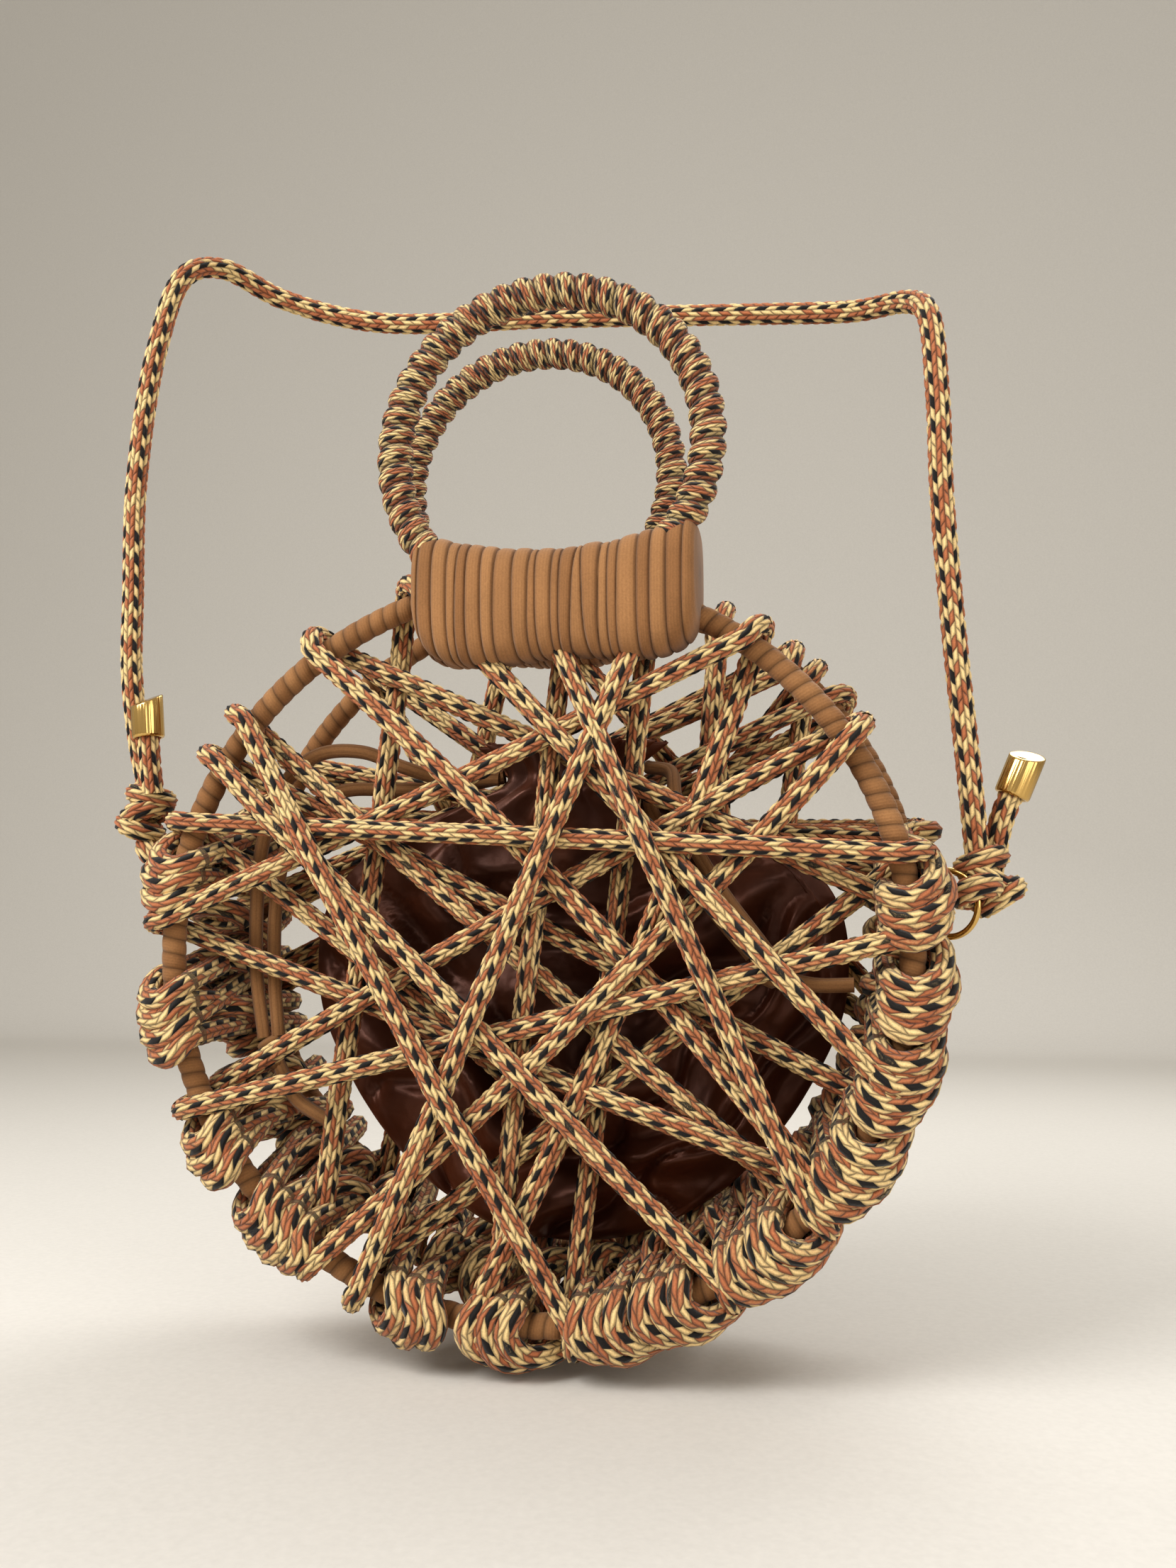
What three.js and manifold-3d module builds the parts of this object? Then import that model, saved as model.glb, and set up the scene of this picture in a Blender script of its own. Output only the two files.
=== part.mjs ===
// Round cord bag, in millimetres, +Z up. It hangs by its strap from the origin, and the viewer looks along +Y.
// Everything is laid out from the centre of the front hoop, and the group at the end moves it under the strap.
import * as THREE from 'three';
import Module from 'manifold-3d';
import { mergeVertices } from 'three/addons/utils/BufferGeometryUtils.js';

const wasm = await Module();
wasm.setup();

// Hoops: slightly oval rings of wrapped tube, the back one a little higher as the soft bag hangs
const HOOP_HALF_WIDTH = 138.5;
const HOOP_HALF_HEIGHT = 133.5;
const HOOP_TUBE = 4.4;
const HOOP_SPACING = 72;
const BACK_LIFT = 10.6;
const FIT = 0.4;

// Web: braided cord that lies in front of the hoop's tube and behind it
const WEB_CORD = 3.9;
const WEB_SEAT = HOOP_TUBE + WEB_CORD + FIT;
const TURN_WIDTH = 8;

// Handles: rings wound with cord, tied outside each hoop's top
const HANDLE_TUBE = 6.4;
const HANDLE_RADIUS = 59.5;
const HANDLE_STANDOFF = HOOP_TUBE + HANDLE_TUBE + 0.6;
const BINDING_WRAP = 4;
const BINDING_SAG = 2;

// Gusset: loops on the hoops, joined by a knotted band
const LOOP_REACH = 16;
const LOOP_RISE = 0.84;
const LOOP_CHAMFER = 3;
const SLEEVE_PLAY = 4.6;
const BAND_DEPTH = 14;
const BAND_EDGE = 13.1;
const BAND_START = 160;
const BAND_END = 376;
const GAP_COUNT = 12;
const GAP_HALF_LENGTH = 8;
const GAP_HALF_DEPTH = 8;
const GAP_ROWS = [0.32, 0.68];

// Strap rings
const RING_RADIUS = 12;
const RING_WIRE = 1.2;
const RING_LOOP_WIDTH = 16;
const RING_LOOP_THICKNESS = 9;

// Pouch: satin with a drawn neck
const POUCH_WALL = 1.8;
const POUCH_CENTRE_X = 10;
const POUCH_CENTRE_Y = 38.4;
const POUCH_HALF_DEPTH = 19.8;
const FLAT_START = 6;
const FLAT_SHARE = 0.42;
const SHOULDER_ROOM = 0.9;
const POUCH_NECK_Z = 62;
const POUCH_FOLDS = 12;
const FOLD_DEPTH = 0.09;
const FOLD_REACH = 45;

// Cords
const STRAP_CORD = 4.4;
const STRAP_STEPS = 46;
const LEFT_OUTER_STEPS = 18;
const LEFT_INNER_STEPS = 15;
const RIGHT_STEPS = 9;
const TAIL_STEPS = 4;
const DRAWSTRING = 2.7;
const WRAP_RADIUS = 7;
const WRAP_RISE = 6;
const KNOT_CORE = [9, 9, 13];
const CAP_PLAY = 1;
const CAP_WALL = 1.2;
const CAP_LENGTH = 20;
const CAP_BORE = 14;
const CAP_SLANT = 3;

// Where the strap is held up, seen from the centre of the front hoop
const REST = new THREE.Vector3(-8, 92, 282);

const middleY = HOOP_SPACING / 2;
const radians = THREE.MathUtils.degToRad;
const point = (x, y, z) => new THREE.Vector3(x, y, z);
const across = point(0, 1, 0);

const FRONT_HOOP = point(0, 0, 0);
const BACK_HOOP = point(0.6, HOOP_SPACING, BACK_LIFT);
const MIDDLE_HOOP = FRONT_HOOP.clone().lerp(BACK_HOOP, 0.5);

// A hoop's centre line at an angle, counted from +X towards +Z; reach grows it, and shift moves it in Y
function onHoop(hoop, degrees, reach = 0, shift = 0) {
  const angle = radians(degrees);
  return point(
    hoop.x + (HOOP_HALF_WIDTH + reach) * Math.cos(angle),
    hoop.y + shift,
    hoop.z + (HOOP_HALF_HEIGHT + reach) * Math.sin(angle),
  );
}

function hoopDirections(degrees) {
  const angle = radians(degrees);
  return {
    along: point(-Math.sin(angle), 0, Math.cos(angle)),
    outwards: point(Math.cos(angle), 0, Math.sin(angle)),
  };
}

// A closed mesh becomes a solid for joins and cuts, and then a geometry again

function solid(geometry) {
  geometry.deleteAttribute('normal');
  geometry.deleteAttribute('uv');
  const merged = mergeVertices(geometry, 1e-4);
  return new wasm.Manifold(new wasm.Mesh({
    numProp: 3,
    vertProperties: new Float32Array(merged.attributes.position.array),
    triVerts: new Uint32Array(merged.index.array),
  }));
}

const join = (solids) => solids.reduce((sum, next) => sum.add(next));
const cut = (body, tools) => tools.reduce((rest, tool) => rest.subtract(tool), body);

function geometryOf(body) {
  const mesh = body.getMesh();
  const geometry = new THREE.BufferGeometry();
  geometry.setAttribute('position', new THREE.BufferAttribute(new Float32Array(mesh.vertProperties), 3));
  geometry.setIndex(new THREE.BufferAttribute(new Uint32Array(mesh.triVerts), 1));
  geometry.computeVertexNormals();
  return geometry;
}

// Shapes

function tube(points, radius, sides, steps) {
  const corners = Array.from({ length: sides }, (_, i) => {
    const angle = (i + 0.5) * 2 * Math.PI / sides;
    return new THREE.Vector2(radius * Math.cos(angle), radius * Math.sin(angle));
  });
  const path = points.length === 2
    ? new THREE.LineCurve3(points[0], points[1])
    : new THREE.CatmullRomCurve3(points, false, 'centripetal');
  return solid(new THREE.ExtrudeGeometry(new THREE.Shape(corners), { steps, extrudePath: path }));
}

// The same points with the first and the last one moved out by a length
function lengthened(points, length) {
  const outwards = (end, next) => end.clone().add(end.clone().sub(next).setLength(length));
  return [outwards(points[0], points[1]), ...points.slice(1, -1), outwards(points.at(-1), points.at(-2))];
}

// A ring whose axis runs along Y, before it is turned about Z
function ring(centre, radius, tubeRadius, sides, steps, heightRatio = 1, turned = 0) {
  const torus = new THREE.TorusGeometry(radius, tubeRadius, sides, steps);
  torus.rotateX(Math.PI / 2);
  torus.scale(1, 1, heightRatio);
  torus.rotateZ(turned);
  torus.translate(centre.x, centre.y, centre.z);
  return solid(torus);
}

function ball(centre, halfX, halfY, halfZ) {
  const sphere = new THREE.SphereGeometry(1, 8, 5);
  sphere.scale(halfX, halfZ, halfY);
  sphere.rotateX(Math.PI / 2);
  sphere.translate(centre.x, centre.y, centre.z);
  return solid(sphere);
}

// A sleeve round a hoop, open for the tube that it sits on. Its six sides start at the phase, and rise
// scales it away from the hoop's centre.
function sleeve(hoop, degrees, { width, reach, chamfer, phase, rise }, grow = 0) {
  const { along, outwards } = hoopDirections(degrees);
  const half = width / 2 + grow;
  const bore = HOOP_TUBE + SLEEVE_PLAY - grow;
  const profile = [
    new THREE.Vector2(bore, -half),
    new THREE.Vector2(reach + grow, -half + chamfer),
    new THREE.Vector2(reach + grow, half - chamfer),
    new THREE.Vector2(bore, half),
    new THREE.Vector2(bore, -half),
  ];
  const lathe = new THREE.LatheGeometry(profile, 6, phase);
  const placed = new THREE.Matrix4().makeBasis(outwards.multiplyScalar(rise), along, across.clone().negate());
  lathe.applyMatrix4(placed.setPosition(onHoop(hoop, degrees)));
  return solid(lathe);
}

// Hoops

const hoopRing = (centre, grow = 0) => ring(
  centre, HOOP_HALF_WIDTH, HOOP_TUBE + grow, 6, 30, HOOP_HALF_HEIGHT / HOOP_HALF_WIDTH,
);
const frontHoop = hoopRing(FRONT_HOOP);
const backHoop = hoopRing(BACK_HOOP);
const frontHoopRoom = hoopRing(FRONT_HOOP, FIT);
const backHoopRoom = hoopRing(BACK_HOOP, FIT);

// Handles

const FRONT_HANDLE = point(12.6, -HANDLE_STANDOFF, 181.5);
const BACK_HANDLE = point(-16.5, HOOP_SPACING + HANDLE_STANDOFF, 202);
const handleRing = (centre, grow = 0) => ring(centre, HANDLE_RADIUS, HANDLE_TUBE + grow, 6, 26);
const frontHandle = handleRing(FRONT_HANDLE);
const backHandle = handleRing(BACK_HANDLE);
const frontHandleRoom = handleRing(FRONT_HANDLE, FIT);
const backHandleRoom = handleRing(BACK_HANDLE, FIT);

// Webs. Each row is one chord: the hoop angles of its two ends, the side of the hoop that it lies on
// (-1 towards the viewer, 1 away), and how far it lies over its neighbours where they cross. Hidden is the
// length at its first end that the handle and its binding take.
const frontChords = [
  { from: 160, to: 13, side: -1, layer: 0.9 },
  { from: 141, to: 279, side: -1, layer: 2.4 },
  { from: 125, to: 320, side: -1, layer: 0.4 },
  { from: 105, to: 339, side: -1, layer: 1.4 },
  { from: 88, to: 318, side: -1, layer: 2.3, hidden: 24 },
  { from: 68, to: 246, side: -1, layer: 2.1 },
  { from: 53, to: 176, side: -1, layer: 0 },
  { from: 31, to: 238, side: -1, layer: 0.3 },
  { from: 1, to: 207, side: -1, layer: 0.1 },
  { from: 149, to: 302, side: -1, layer: 1.8 },
  { from: 123, to: 3, side: 1, layer: 0.9 },
  { from: 178, to: 321, side: 1, layer: 1.3 },
  { from: 206, to: 33, side: 1, layer: 0.4 },
];
const backChords = [
  { from: 40, to: 191, side: -1, layer: 0.9 },
  { from: 48, to: 177, side: -1, layer: 0.3 },
  { from: 128, to: 340, side: -1, layer: 1.1 },
  { from: 99, to: 236, side: -1, layer: 0.1, hidden: 6 },
  { from: 62, to: 288, side: -1, layer: 0.6 },
  { from: 150, to: 6, side: -1, layer: 1.2 },
  { from: 38, to: 193, side: 1, layer: 1.4 },
  { from: 130, to: 290, side: 1, layer: 0.4 },
];

function chord(hoop, row, grow) {
  const shift = row.side * (WEB_SEAT + row.layer);
  const [start, end] = [onHoop(hoop, row.from, 0, shift), onHoop(hoop, row.to, 0, shift)];
  const hidden = row.hidden ?? 0;
  start.lerp(end, hidden / start.distanceTo(end));
  return tube(grow > 0 ? lengthened([start, end], grow) : [start, end], WEB_CORD + grow, 4, 1);
}

const turnShape = { width: TURN_WIDTH, reach: WEB_SEAT + WEB_CORD, chamfer: 0, phase: 0, rise: 1 };

// Chords whose ends lie within a few degrees of each other share one turn round the hoop
function web(hoop, chords, grow = 0) {
  const ends = chords.flatMap((row) => (row.hidden ? [row.to] : [row.from, row.to])).sort((a, b) => a - b);
  const turns = ends.filter((angle, i) => i === 0 || angle - ends[i - 1] > 2.5);
  return join([
    ...chords.map((row) => chord(hoop, row, grow)),
    ...turns.map((angle) => sleeve(hoop, angle, turnShape, grow)),
  ]);
}

const frontWeb = cut(web(FRONT_HOOP, frontChords), [frontHandleRoom]);
const backWeb = cut(web(BACK_HOOP, backChords), [backHandleRoom]);
const frontWebRoom = web(FRONT_HOOP, frontChords, FIT);
const backWebRoom = web(BACK_HOOP, backChords, FIT);

// Strap rings: the left one faces the viewer, and the right one is turned

const LEFT_RING = point(-160, middleY, 28);
const RIGHT_RING = point(152, middleY, 14);
const LEFT_TURN = 0;
const RIGHT_TURN = radians(-35);
const strapRing = (centre, turned, grow = 0) => ring(centre, RING_RADIUS, RING_WIRE + grow, 5, 12, 1, turned);
const leftRing = strapRing(LEFT_RING, LEFT_TURN);
const rightRing = strapRing(RIGHT_RING, RIGHT_TURN);
const leftRingRoom = strapRing(LEFT_RING, LEFT_TURN, FIT);
const rightRingRoom = strapRing(RIGHT_RING, RIGHT_TURN, FIT);

// Gusset. Each row is a group of loops on a hoop: its hoop angle and how wide it is along the hoop.
const frontLoops = [
  { angle: 168, width: 24 },
  { angle: 191, width: 30 },
  { angle: 214, width: 27 },
  { angle: 229, width: 27 },
  { angle: 255, width: 26 },
  { angle: 270, width: 24 },
  { angle: 290, width: 38 },
  { angle: 310, width: 26 },
  { angle: 329, width: 26 },
  { angle: 350, width: 36 },
  { angle: 368, width: 12 },
];
const backLoops = [
  { angle: 168, width: 24 },
  { angle: 184, width: 20 },
  { angle: 203, width: 30 },
  { angle: 221, width: 30 },
  { angle: 257, width: 30 },
  { angle: 275, width: 26 },
  { angle: 302, width: 30 },
  { angle: 322, width: 34 },
  { angle: 353, width: 34 },
];

const loopShape = { reach: LOOP_REACH, chamfer: LOOP_CHAMFER, phase: Math.PI / 6, rise: LOOP_RISE };
const loops = (hoop, rows) => rows.map(({ angle, width }) => sleeve(hoop, angle, { ...loopShape, width }));

// The band between the hoops: a thick knotted strip that leans back with them
function band() {
  const [start, end] = [BAND_START, BAND_END].map(radians);
  const outline = new THREE.Shape();
  outline.absellipse(0, 0, HOOP_HALF_WIDTH, HOOP_HALF_HEIGHT, start, end, false);
  outline.absellipse(0, 0, HOOP_HALF_WIDTH - BAND_DEPTH, HOOP_HALF_HEIGHT - BAND_DEPTH, end, start, true);
  const depth = HOOP_SPACING - 2 * BAND_EDGE;
  const strip = new THREE.ExtrudeGeometry(outline, { depth, bevelEnabled: false, curveSegments: 13 });
  strip.rotateX(Math.PI / 2);
  strip.translate(0, HOOP_SPACING - BAND_EDGE, 0);
  strip.applyMatrix4(new THREE.Matrix4().makeShear(0, 0, 0, BACK_LIFT / HOOP_SPACING, 0, 0));
  return solid(strip);
}

// A diamond gap through the band, at a share of the way from the front hoop to the back one
function gap(degrees, share) {
  const { along, outwards } = hoopDirections(degrees);
  const hole = new THREE.CylinderGeometry(1, 1, 2 * BAND_DEPTH, 4, 1);
  hole.applyMatrix4(new THREE.Matrix4().makeBasis(
    along.clone().multiplyScalar(GAP_HALF_LENGTH),
    outwards,
    across.clone().multiplyScalar(GAP_HALF_DEPTH),
  ));
  const centre = onHoop(FRONT_HOOP.clone().lerp(BACK_HOOP, share), degrees, -BAND_DEPTH / 2);
  hole.translate(centre.x, centre.y, centre.z);
  return solid(hole);
}

const gapPitch = (BAND_END - BAND_START) / (GAP_COUNT + 1);
const gaps = GAP_ROWS.flatMap((share, row) => Array.from(
  { length: GAP_COUNT },
  (_, i) => gap(BAND_START + gapPitch * (i + 0.7 + row / 2), share),
));

// The band's ends reach out and over the near side of the strap rings
function ringLoop(centre, degrees) {
  const start = onHoop(MIDDLE_HOOP, degrees, -BAND_DEPTH / 3);
  const end = centre.clone().lerp(start, 0.3);
  const length = start.distanceTo(end);
  const bar = new THREE.BoxGeometry(length, RING_LOOP_WIDTH, RING_LOOP_THICKNESS);
  bar.rotateY(-Math.atan2(end.z - start.z, end.x - start.x));
  bar.translate((start.x + end.x) / 2, middleY, (start.z + end.z) / 2);
  return solid(bar);
}

const gusset = cut(
  join([
    cut(band(), gaps),
    ...loops(FRONT_HOOP, frontLoops),
    ...loops(BACK_HOOP, backLoops),
    ringLoop(LEFT_RING, 165),
    ringLoop(RIGHT_RING, 372),
  ]),
  [frontWebRoom, backWebRoom, leftRingRoom, rightRingRoom],
);

// Bindings: cloth wound round the handle's lower arc and the hoop's top, from one end to the other along X

function binding(hoop, handle, left, right, rooms) {
  const cloth = new THREE.CylinderGeometry(1, 1, 2, 10, 6);
  cloth.rotateZ(Math.PI / 2);
  const spots = cloth.attributes.position;
  const front = Math.min(hoop.y - HOOP_TUBE, handle.y - HANDLE_TUBE) - BINDING_WRAP;
  const back = Math.max(hoop.y + HOOP_TUBE, handle.y + HANDLE_TUBE) + BINDING_WRAP;
  const squared = (value) => Math.sign(value) * Math.abs(value) ** 0.7;
  for (let i = 0; i < spots.count; i += 1) {
    const share = (spots.getX(i) + 1) / 2;
    const x = left + share * (right - left);
    const hoopZ = hoop.z + HOOP_HALF_HEIGHT * Math.sqrt(1 - ((x - hoop.x) / HOOP_HALF_WIDTH) ** 2);
    const handleZ = handle.z - Math.sqrt(HANDLE_RADIUS ** 2 - (x - handle.x) ** 2);
    const top = Math.max(hoopZ + HOOP_TUBE, handleZ + HANDLE_TUBE) + BINDING_WRAP;
    const bottom = Math.min(hoopZ - HOOP_TUBE, handleZ - HANDLE_TUBE) - BINDING_WRAP - BINDING_SAG;
    const taper = 0.5 - 0.06 * Math.abs(2 * share - 1) ** 4;
    const y = (front + back) / 2 + taper * (back - front) * squared(spots.getY(i));
    const z = (top + bottom) / 2 + taper * (top - bottom) * squared(spots.getZ(i));
    spots.setXYZ(i, x, y, z);
  }
  return cut(solid(cloth), rooms);
}

const frontBinding = binding(
  FRONT_HOOP, FRONT_HANDLE, -41, 66, [frontHoopRoom, frontHandleRoom, frontWebRoom],
);
const backBinding = binding(
  BACK_HOOP, BACK_HANDLE, -66, 33, [backHoopRoom, backHandleRoom, backWebRoom],
);

// Pouch: a turned profile, pressed flat between the webs and gathered into folds at its neck. Each row of
// the profile is a radius and a height, from the bottom up.
const pouchProfile = [
  [0, -111.6], [24, -108.5], [46, -99], [66, -84], [88, -57], [104, -22], [100, 14], [70, 42], [25, 62], [35, 77],
];

// A turned profile, flattened between the webs and drawn in at the neck
function gathered(profile, grow) {
  const cloth = new THREE.LatheGeometry(profile, 2 * POUCH_FOLDS);
  cloth.rotateX(Math.PI / 2);
  const spots = cloth.attributes.position;
  for (let i = 0; i < spots.count; i += 1) {
    const x = spots.getX(i);
    const y = spots.getY(i);
    const z = spots.getZ(i);
    const radius = Math.max(Math.hypot(x, y), 0.01);
    const gather = Math.exp(-(((z - POUCH_NECK_Z) / FOLD_REACH) ** 2));
    const fold = 1 - FOLD_DEPTH * gather * (1 - Math.cos(POUCH_FOLDS * Math.atan2(y, x)));
    const halfDepth = Math.min(POUCH_HALF_DEPTH, FLAT_START + FLAT_SHARE * radius) + grow;
    const flattened = Math.min(1, halfDepth / radius);
    spots.setXYZ(i, POUCH_CENTRE_X + x * fold, POUCH_CENTRE_Y + y * fold * flattened, z);
  }
  return solid(cloth);
}

// The profile's points moved in by the cloth's thickness, without the first one
function inset(profile, thickness) {
  const spots = profile.map(([r, z]) => new THREE.Vector2(r, z));
  const inwards = (from, to) => {
    const run = to.clone().sub(from).normalize();
    return new THREE.Vector2(-run.y, run.x);
  };
  return spots.slice(1).map((spot, i) => {
    const before = inwards(spots[i], spot);
    const after = i + 2 < spots.length ? inwards(spot, spots[i + 2]) : before;
    const mitre = before.clone().add(after).multiplyScalar(thickness / (1 + before.dot(after)));
    return spot.clone().add(mitre);
  });
}

const [rimRadius, rimZ] = pouchProfile.at(-1);
const pouchFloor = pouchProfile[0][1];
const closed = (floor, side, top) => [new THREE.Vector2(0, floor), ...side, new THREE.Vector2(0, top)];
const pouchSide = (wider) => pouchProfile.slice(1).map(([r, z]) => new THREE.Vector2(r + wider, z));
const pouchSpace = inset(pouchProfile, POUCH_WALL);
pouchSpace.at(-1).set(rimRadius - POUCH_WALL, rimZ + 1);
const pouch = cut(
  gathered(closed(pouchFloor, pouchSide(0), rimZ), 0),
  [gathered(closed(pouchFloor + POUCH_WALL, pouchSpace, rimZ + 1), -POUCH_WALL)],
);
const pouchRoom = gathered(closed(pouchFloor - FIT, pouchSide(SHOULDER_ROOM), rimZ), FIT);

// Drawstrings: at each side two strands leave the neck and meet at a knot, and a tail goes on

const routed = (route) => route.map(([x, y, z]) => point(x, y, z));
const roundCord = (route, radius, steps) => tube(routed(route), radius, 8, steps);
const cordRoom = (route, radius, steps) => tube(lengthened(routed(route), FIT), radius + FIT, 8, steps);

const leftOuterRoute = [
  [-12, 36, 64], [-43, 32, 65], [-56, 26, 69], [-72, 22, 75], [-90, 20, 74], [-104, 19, 62], [-112, 19, 40],
  [-114, 19, 10], [-113, 19, -14], [-109.5, 19.5, -37],
];
const leftInnerRoute = [
  [-12, 43, 67], [-42, 41, 62], [-62, 34, 61], [-82, 27, 60], [-97, 22, 50], [-104, 19.5, 30], [-106, 19, 10],
  [-105.5, 19, -14], [-103.5, 19.5, -36],
];
const leftTailRoute = [[-104, 20, -46], [-95, 19, -60], [-81, 18.5, -68]];
const rightOuterRoute = [
  [31, 35, 66], [43.5, 22.5, 57], [45, 18, 50], [49, 16.6, 42], [61, 16.6, 21], [82, 17, -5],
];
const rightInnerRoute = [
  [33, 43, 70], [50, 33, 65], [54, 20, 54], [58, 16.6, 42], [69, 16.6, 22], [88, 17, -4],
];
const rightTailRoute = [[90, 17.3, -12], [104, 17, -15], [118, 17, -15]];

const leftOuter = cut(roundCord(leftOuterRoute, DRAWSTRING, LEFT_OUTER_STEPS), [pouchRoom]);
const leftInner = cut(roundCord(leftInnerRoute, DRAWSTRING, LEFT_INNER_STEPS), [pouchRoom]);
const leftTail = roundCord(leftTailRoute, DRAWSTRING, TAIL_STEPS);
const rightOuter = cut(roundCord(rightOuterRoute, DRAWSTRING, RIGHT_STEPS), [pouchRoom]);
const rightInner = cut(roundCord(rightInnerRoute, DRAWSTRING, RIGHT_STEPS), [pouchRoom]);
const rightTail = roundCord(rightTailRoute, DRAWSTRING, TAIL_STEPS);

const leftString = cut(ball(point(-106.5, 20, -42), 5.8, 5.5, 8), [
  cordRoom(leftOuterRoute, DRAWSTRING, LEFT_OUTER_STEPS),
  cordRoom(leftInnerRoute, DRAWSTRING, LEFT_INNER_STEPS),
  cordRoom(leftTailRoute, DRAWSTRING, TAIL_STEPS),
]);
const rightString = cut(ball(point(86, 17.8, -9), 8, 4.2, 8), [
  cordRoom(rightOuterRoute, DRAWSTRING, RIGHT_STEPS),
  cordRoom(rightInnerRoute, DRAWSTRING, RIGHT_STEPS),
  cordRoom(rightTailRoute, DRAWSTRING, TAIL_STEPS),
]);

// Strap: from the left ring's knot up and over behind the handles to the right ring's knot

const strapRoute = [
  [-174.5, 37, 64], [-179.5, 36.5, 84], [-184, 36, 114], [-185, 36, 149], [-185.5, 36, 200], [-179, 38, 262],
  [-170, 44, 297], [-160, 58, 306], [-140, 78, 299], [-100, 90, 289], [-8, 92, 282], [80, 90, 273],
  [122, 78, 264], [144, 58, 256], [151, 44, 244], [153.5, 36, 208], [154, 36, 165], [157, 36, 110],
  [160.5, 36.5, 62], [162.5, 37, 31],
];
const leftStrapTailRoute = [[-167, 28, 61], [-169, 27.5, 76], [-171, 27.5, 98]];
const rightStrapTailRoute = [[167, 45, 24], [172, 46, 45], [181, 46, 66]];

const strap = roundCord(strapRoute, STRAP_CORD, STRAP_STEPS);
const leftStrapTail = roundCord(leftStrapTailRoute, STRAP_CORD, TAIL_STEPS);
const rightStrapTail = roundCord(rightStrapTailRoute, STRAP_CORD, TAIL_STEPS);

// A loop of the strap's cord round the wire of a strap ring, at an angle counted from the ring's right side
function hitch(centre, turned, degrees) {
  const angle = radians(degrees);
  const torus = new THREE.TorusGeometry(STRAP_CORD + RING_WIRE + FIT, STRAP_CORD, 5, 9);
  torus.rotateY(-angle);
  torus.translate(RING_RADIUS * Math.cos(angle), 0, RING_RADIUS * Math.sin(angle));
  torus.rotateZ(turned);
  torus.translate(centre.x, centre.y, centre.z);
  return solid(torus);
}

// A knot: two slanting wraps round a core, joined to the hitch on the ring
function strapKnot(centre, lean, hitched, rooms) {
  const wraps = [-WRAP_RISE, WRAP_RISE].map((rise) => {
    const wrap = new THREE.TorusGeometry(WRAP_RADIUS, STRAP_CORD, 5, 9);
    wrap.rotateY(lean);
    wrap.translate(centre.x, centre.y, centre.z + rise);
    return solid(wrap);
  });
  return cut(join([ball(centre, ...KNOT_CORE), ...wraps, hitched]), rooms);
}

const leftKnot = strapKnot(
  point(-173, 34, 54), 0.4, hitch(LEFT_RING, LEFT_TURN, 135),
  [leftRingRoom, cordRoom(strapRoute, STRAP_CORD, STRAP_STEPS), cordRoom(leftStrapTailRoute, STRAP_CORD, TAIL_STEPS)],
);
const rightKnot = strapKnot(
  point(166, 38, 22.4), -0.55, hitch(RIGHT_RING, RIGHT_TURN, 20),
  [rightRingRoom, cordRoom(strapRoute, STRAP_CORD, STRAP_STEPS), cordRoom(rightStrapTailRoute, STRAP_CORD, TAIL_STEPS)],
);

// End caps: hollow cups over the free ends, cut slanting across the closed end
function endCap(route) {
  const bore = STRAP_CORD + CAP_PLAY;
  const outer = bore + CAP_WALL;
  const profile = [[0, CAP_BORE], [bore, CAP_BORE], [bore, 0], [outer, 0], [outer, CAP_LENGTH], [0, CAP_LENGTH]]
    .map(([r, z]) => new THREE.Vector2(r, z));
  const cup = new THREE.LatheGeometry(profile, 8);
  const spots = cup.attributes.position;
  for (let i = 0; i < spots.count; i += 1) {
    const slant = CAP_SLANT * (spots.getX(i) / outer - 1);
    if (spots.getY(i) === CAP_LENGTH) spots.setY(i, CAP_LENGTH + slant);
  }
  const [from, to] = route.slice(-2).map(([x, y, z]) => point(x, y, z));
  const direction = to.clone().sub(from).normalize();
  cup.translate(0, CAP_PLAY - CAP_BORE, 0);
  cup.applyQuaternion(new THREE.Quaternion().setFromUnitVectors(across, direction));
  cup.translate(to.x, to.y, to.z);
  return solid(cup);
}

const jersey = { color: 0xb5773f, roughness: 0.95, metalness: 0 };
const cord = { color: 0xb5854f, roughness: 0.9, metalness: 0 };
const satin = { color: 0x4a2418, roughness: 0.4, metalness: 0 };
const gold = { color: 0xc9a552, roughness: 0.22, metalness: 1 };

const pieces = {
  front_hoop: [frontHoop, jersey],
  back_hoop: [backHoop, jersey],
  front_handle_ring: [frontHandle, cord],
  back_handle_ring: [backHandle, cord],
  front_web: [frontWeb, cord],
  back_web: [backWeb, cord],
  gusset: [gusset, cord],
  front_binding: [frontBinding, jersey],
  back_binding: [backBinding, jersey],
  pouch: [pouch, satin],
  drawstring_left_outer: [leftOuter, jersey],
  drawstring_left_inner: [leftInner, jersey],
  drawstring_left_knot: [leftString, jersey],
  drawstring_left_tail: [leftTail, jersey],
  drawstring_right_outer: [rightOuter, jersey],
  drawstring_right_inner: [rightInner, jersey],
  drawstring_right_knot: [rightString, jersey],
  drawstring_right_tail: [rightTail, jersey],
  strap_ring_left: [leftRing, gold],
  strap_ring_right: [rightRing, gold],
  strap: [strap, cord],
  strap_knot_left: [leftKnot, cord],
  strap_knot_right: [rightKnot, cord],
  strap_tail_left: [leftStrapTail, cord],
  strap_tail_right: [rightStrapTail, cord],
  end_cap_left: [endCap(leftStrapTailRoute), gold],
  end_cap_right: [endCap(rightStrapTailRoute), gold],
};

const group = new THREE.Group();
group.position.copy(REST).negate();
for (const [name, [body, finish]] of Object.entries(pieces)) {
  const mesh = new THREE.Mesh(geometryOf(body), new THREE.MeshStandardMaterial(finish));
  mesh.name = name;
  group.add(mesh);
}
export default group;
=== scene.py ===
"""Round cord bag: hoops wrapped in jersey, webs of knitted cord, a knotted gusset, a satin pouch and a strap."""
import math
import random

import bmesh
import bpy
from mathutils import Matrix, Vector, noise


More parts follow.
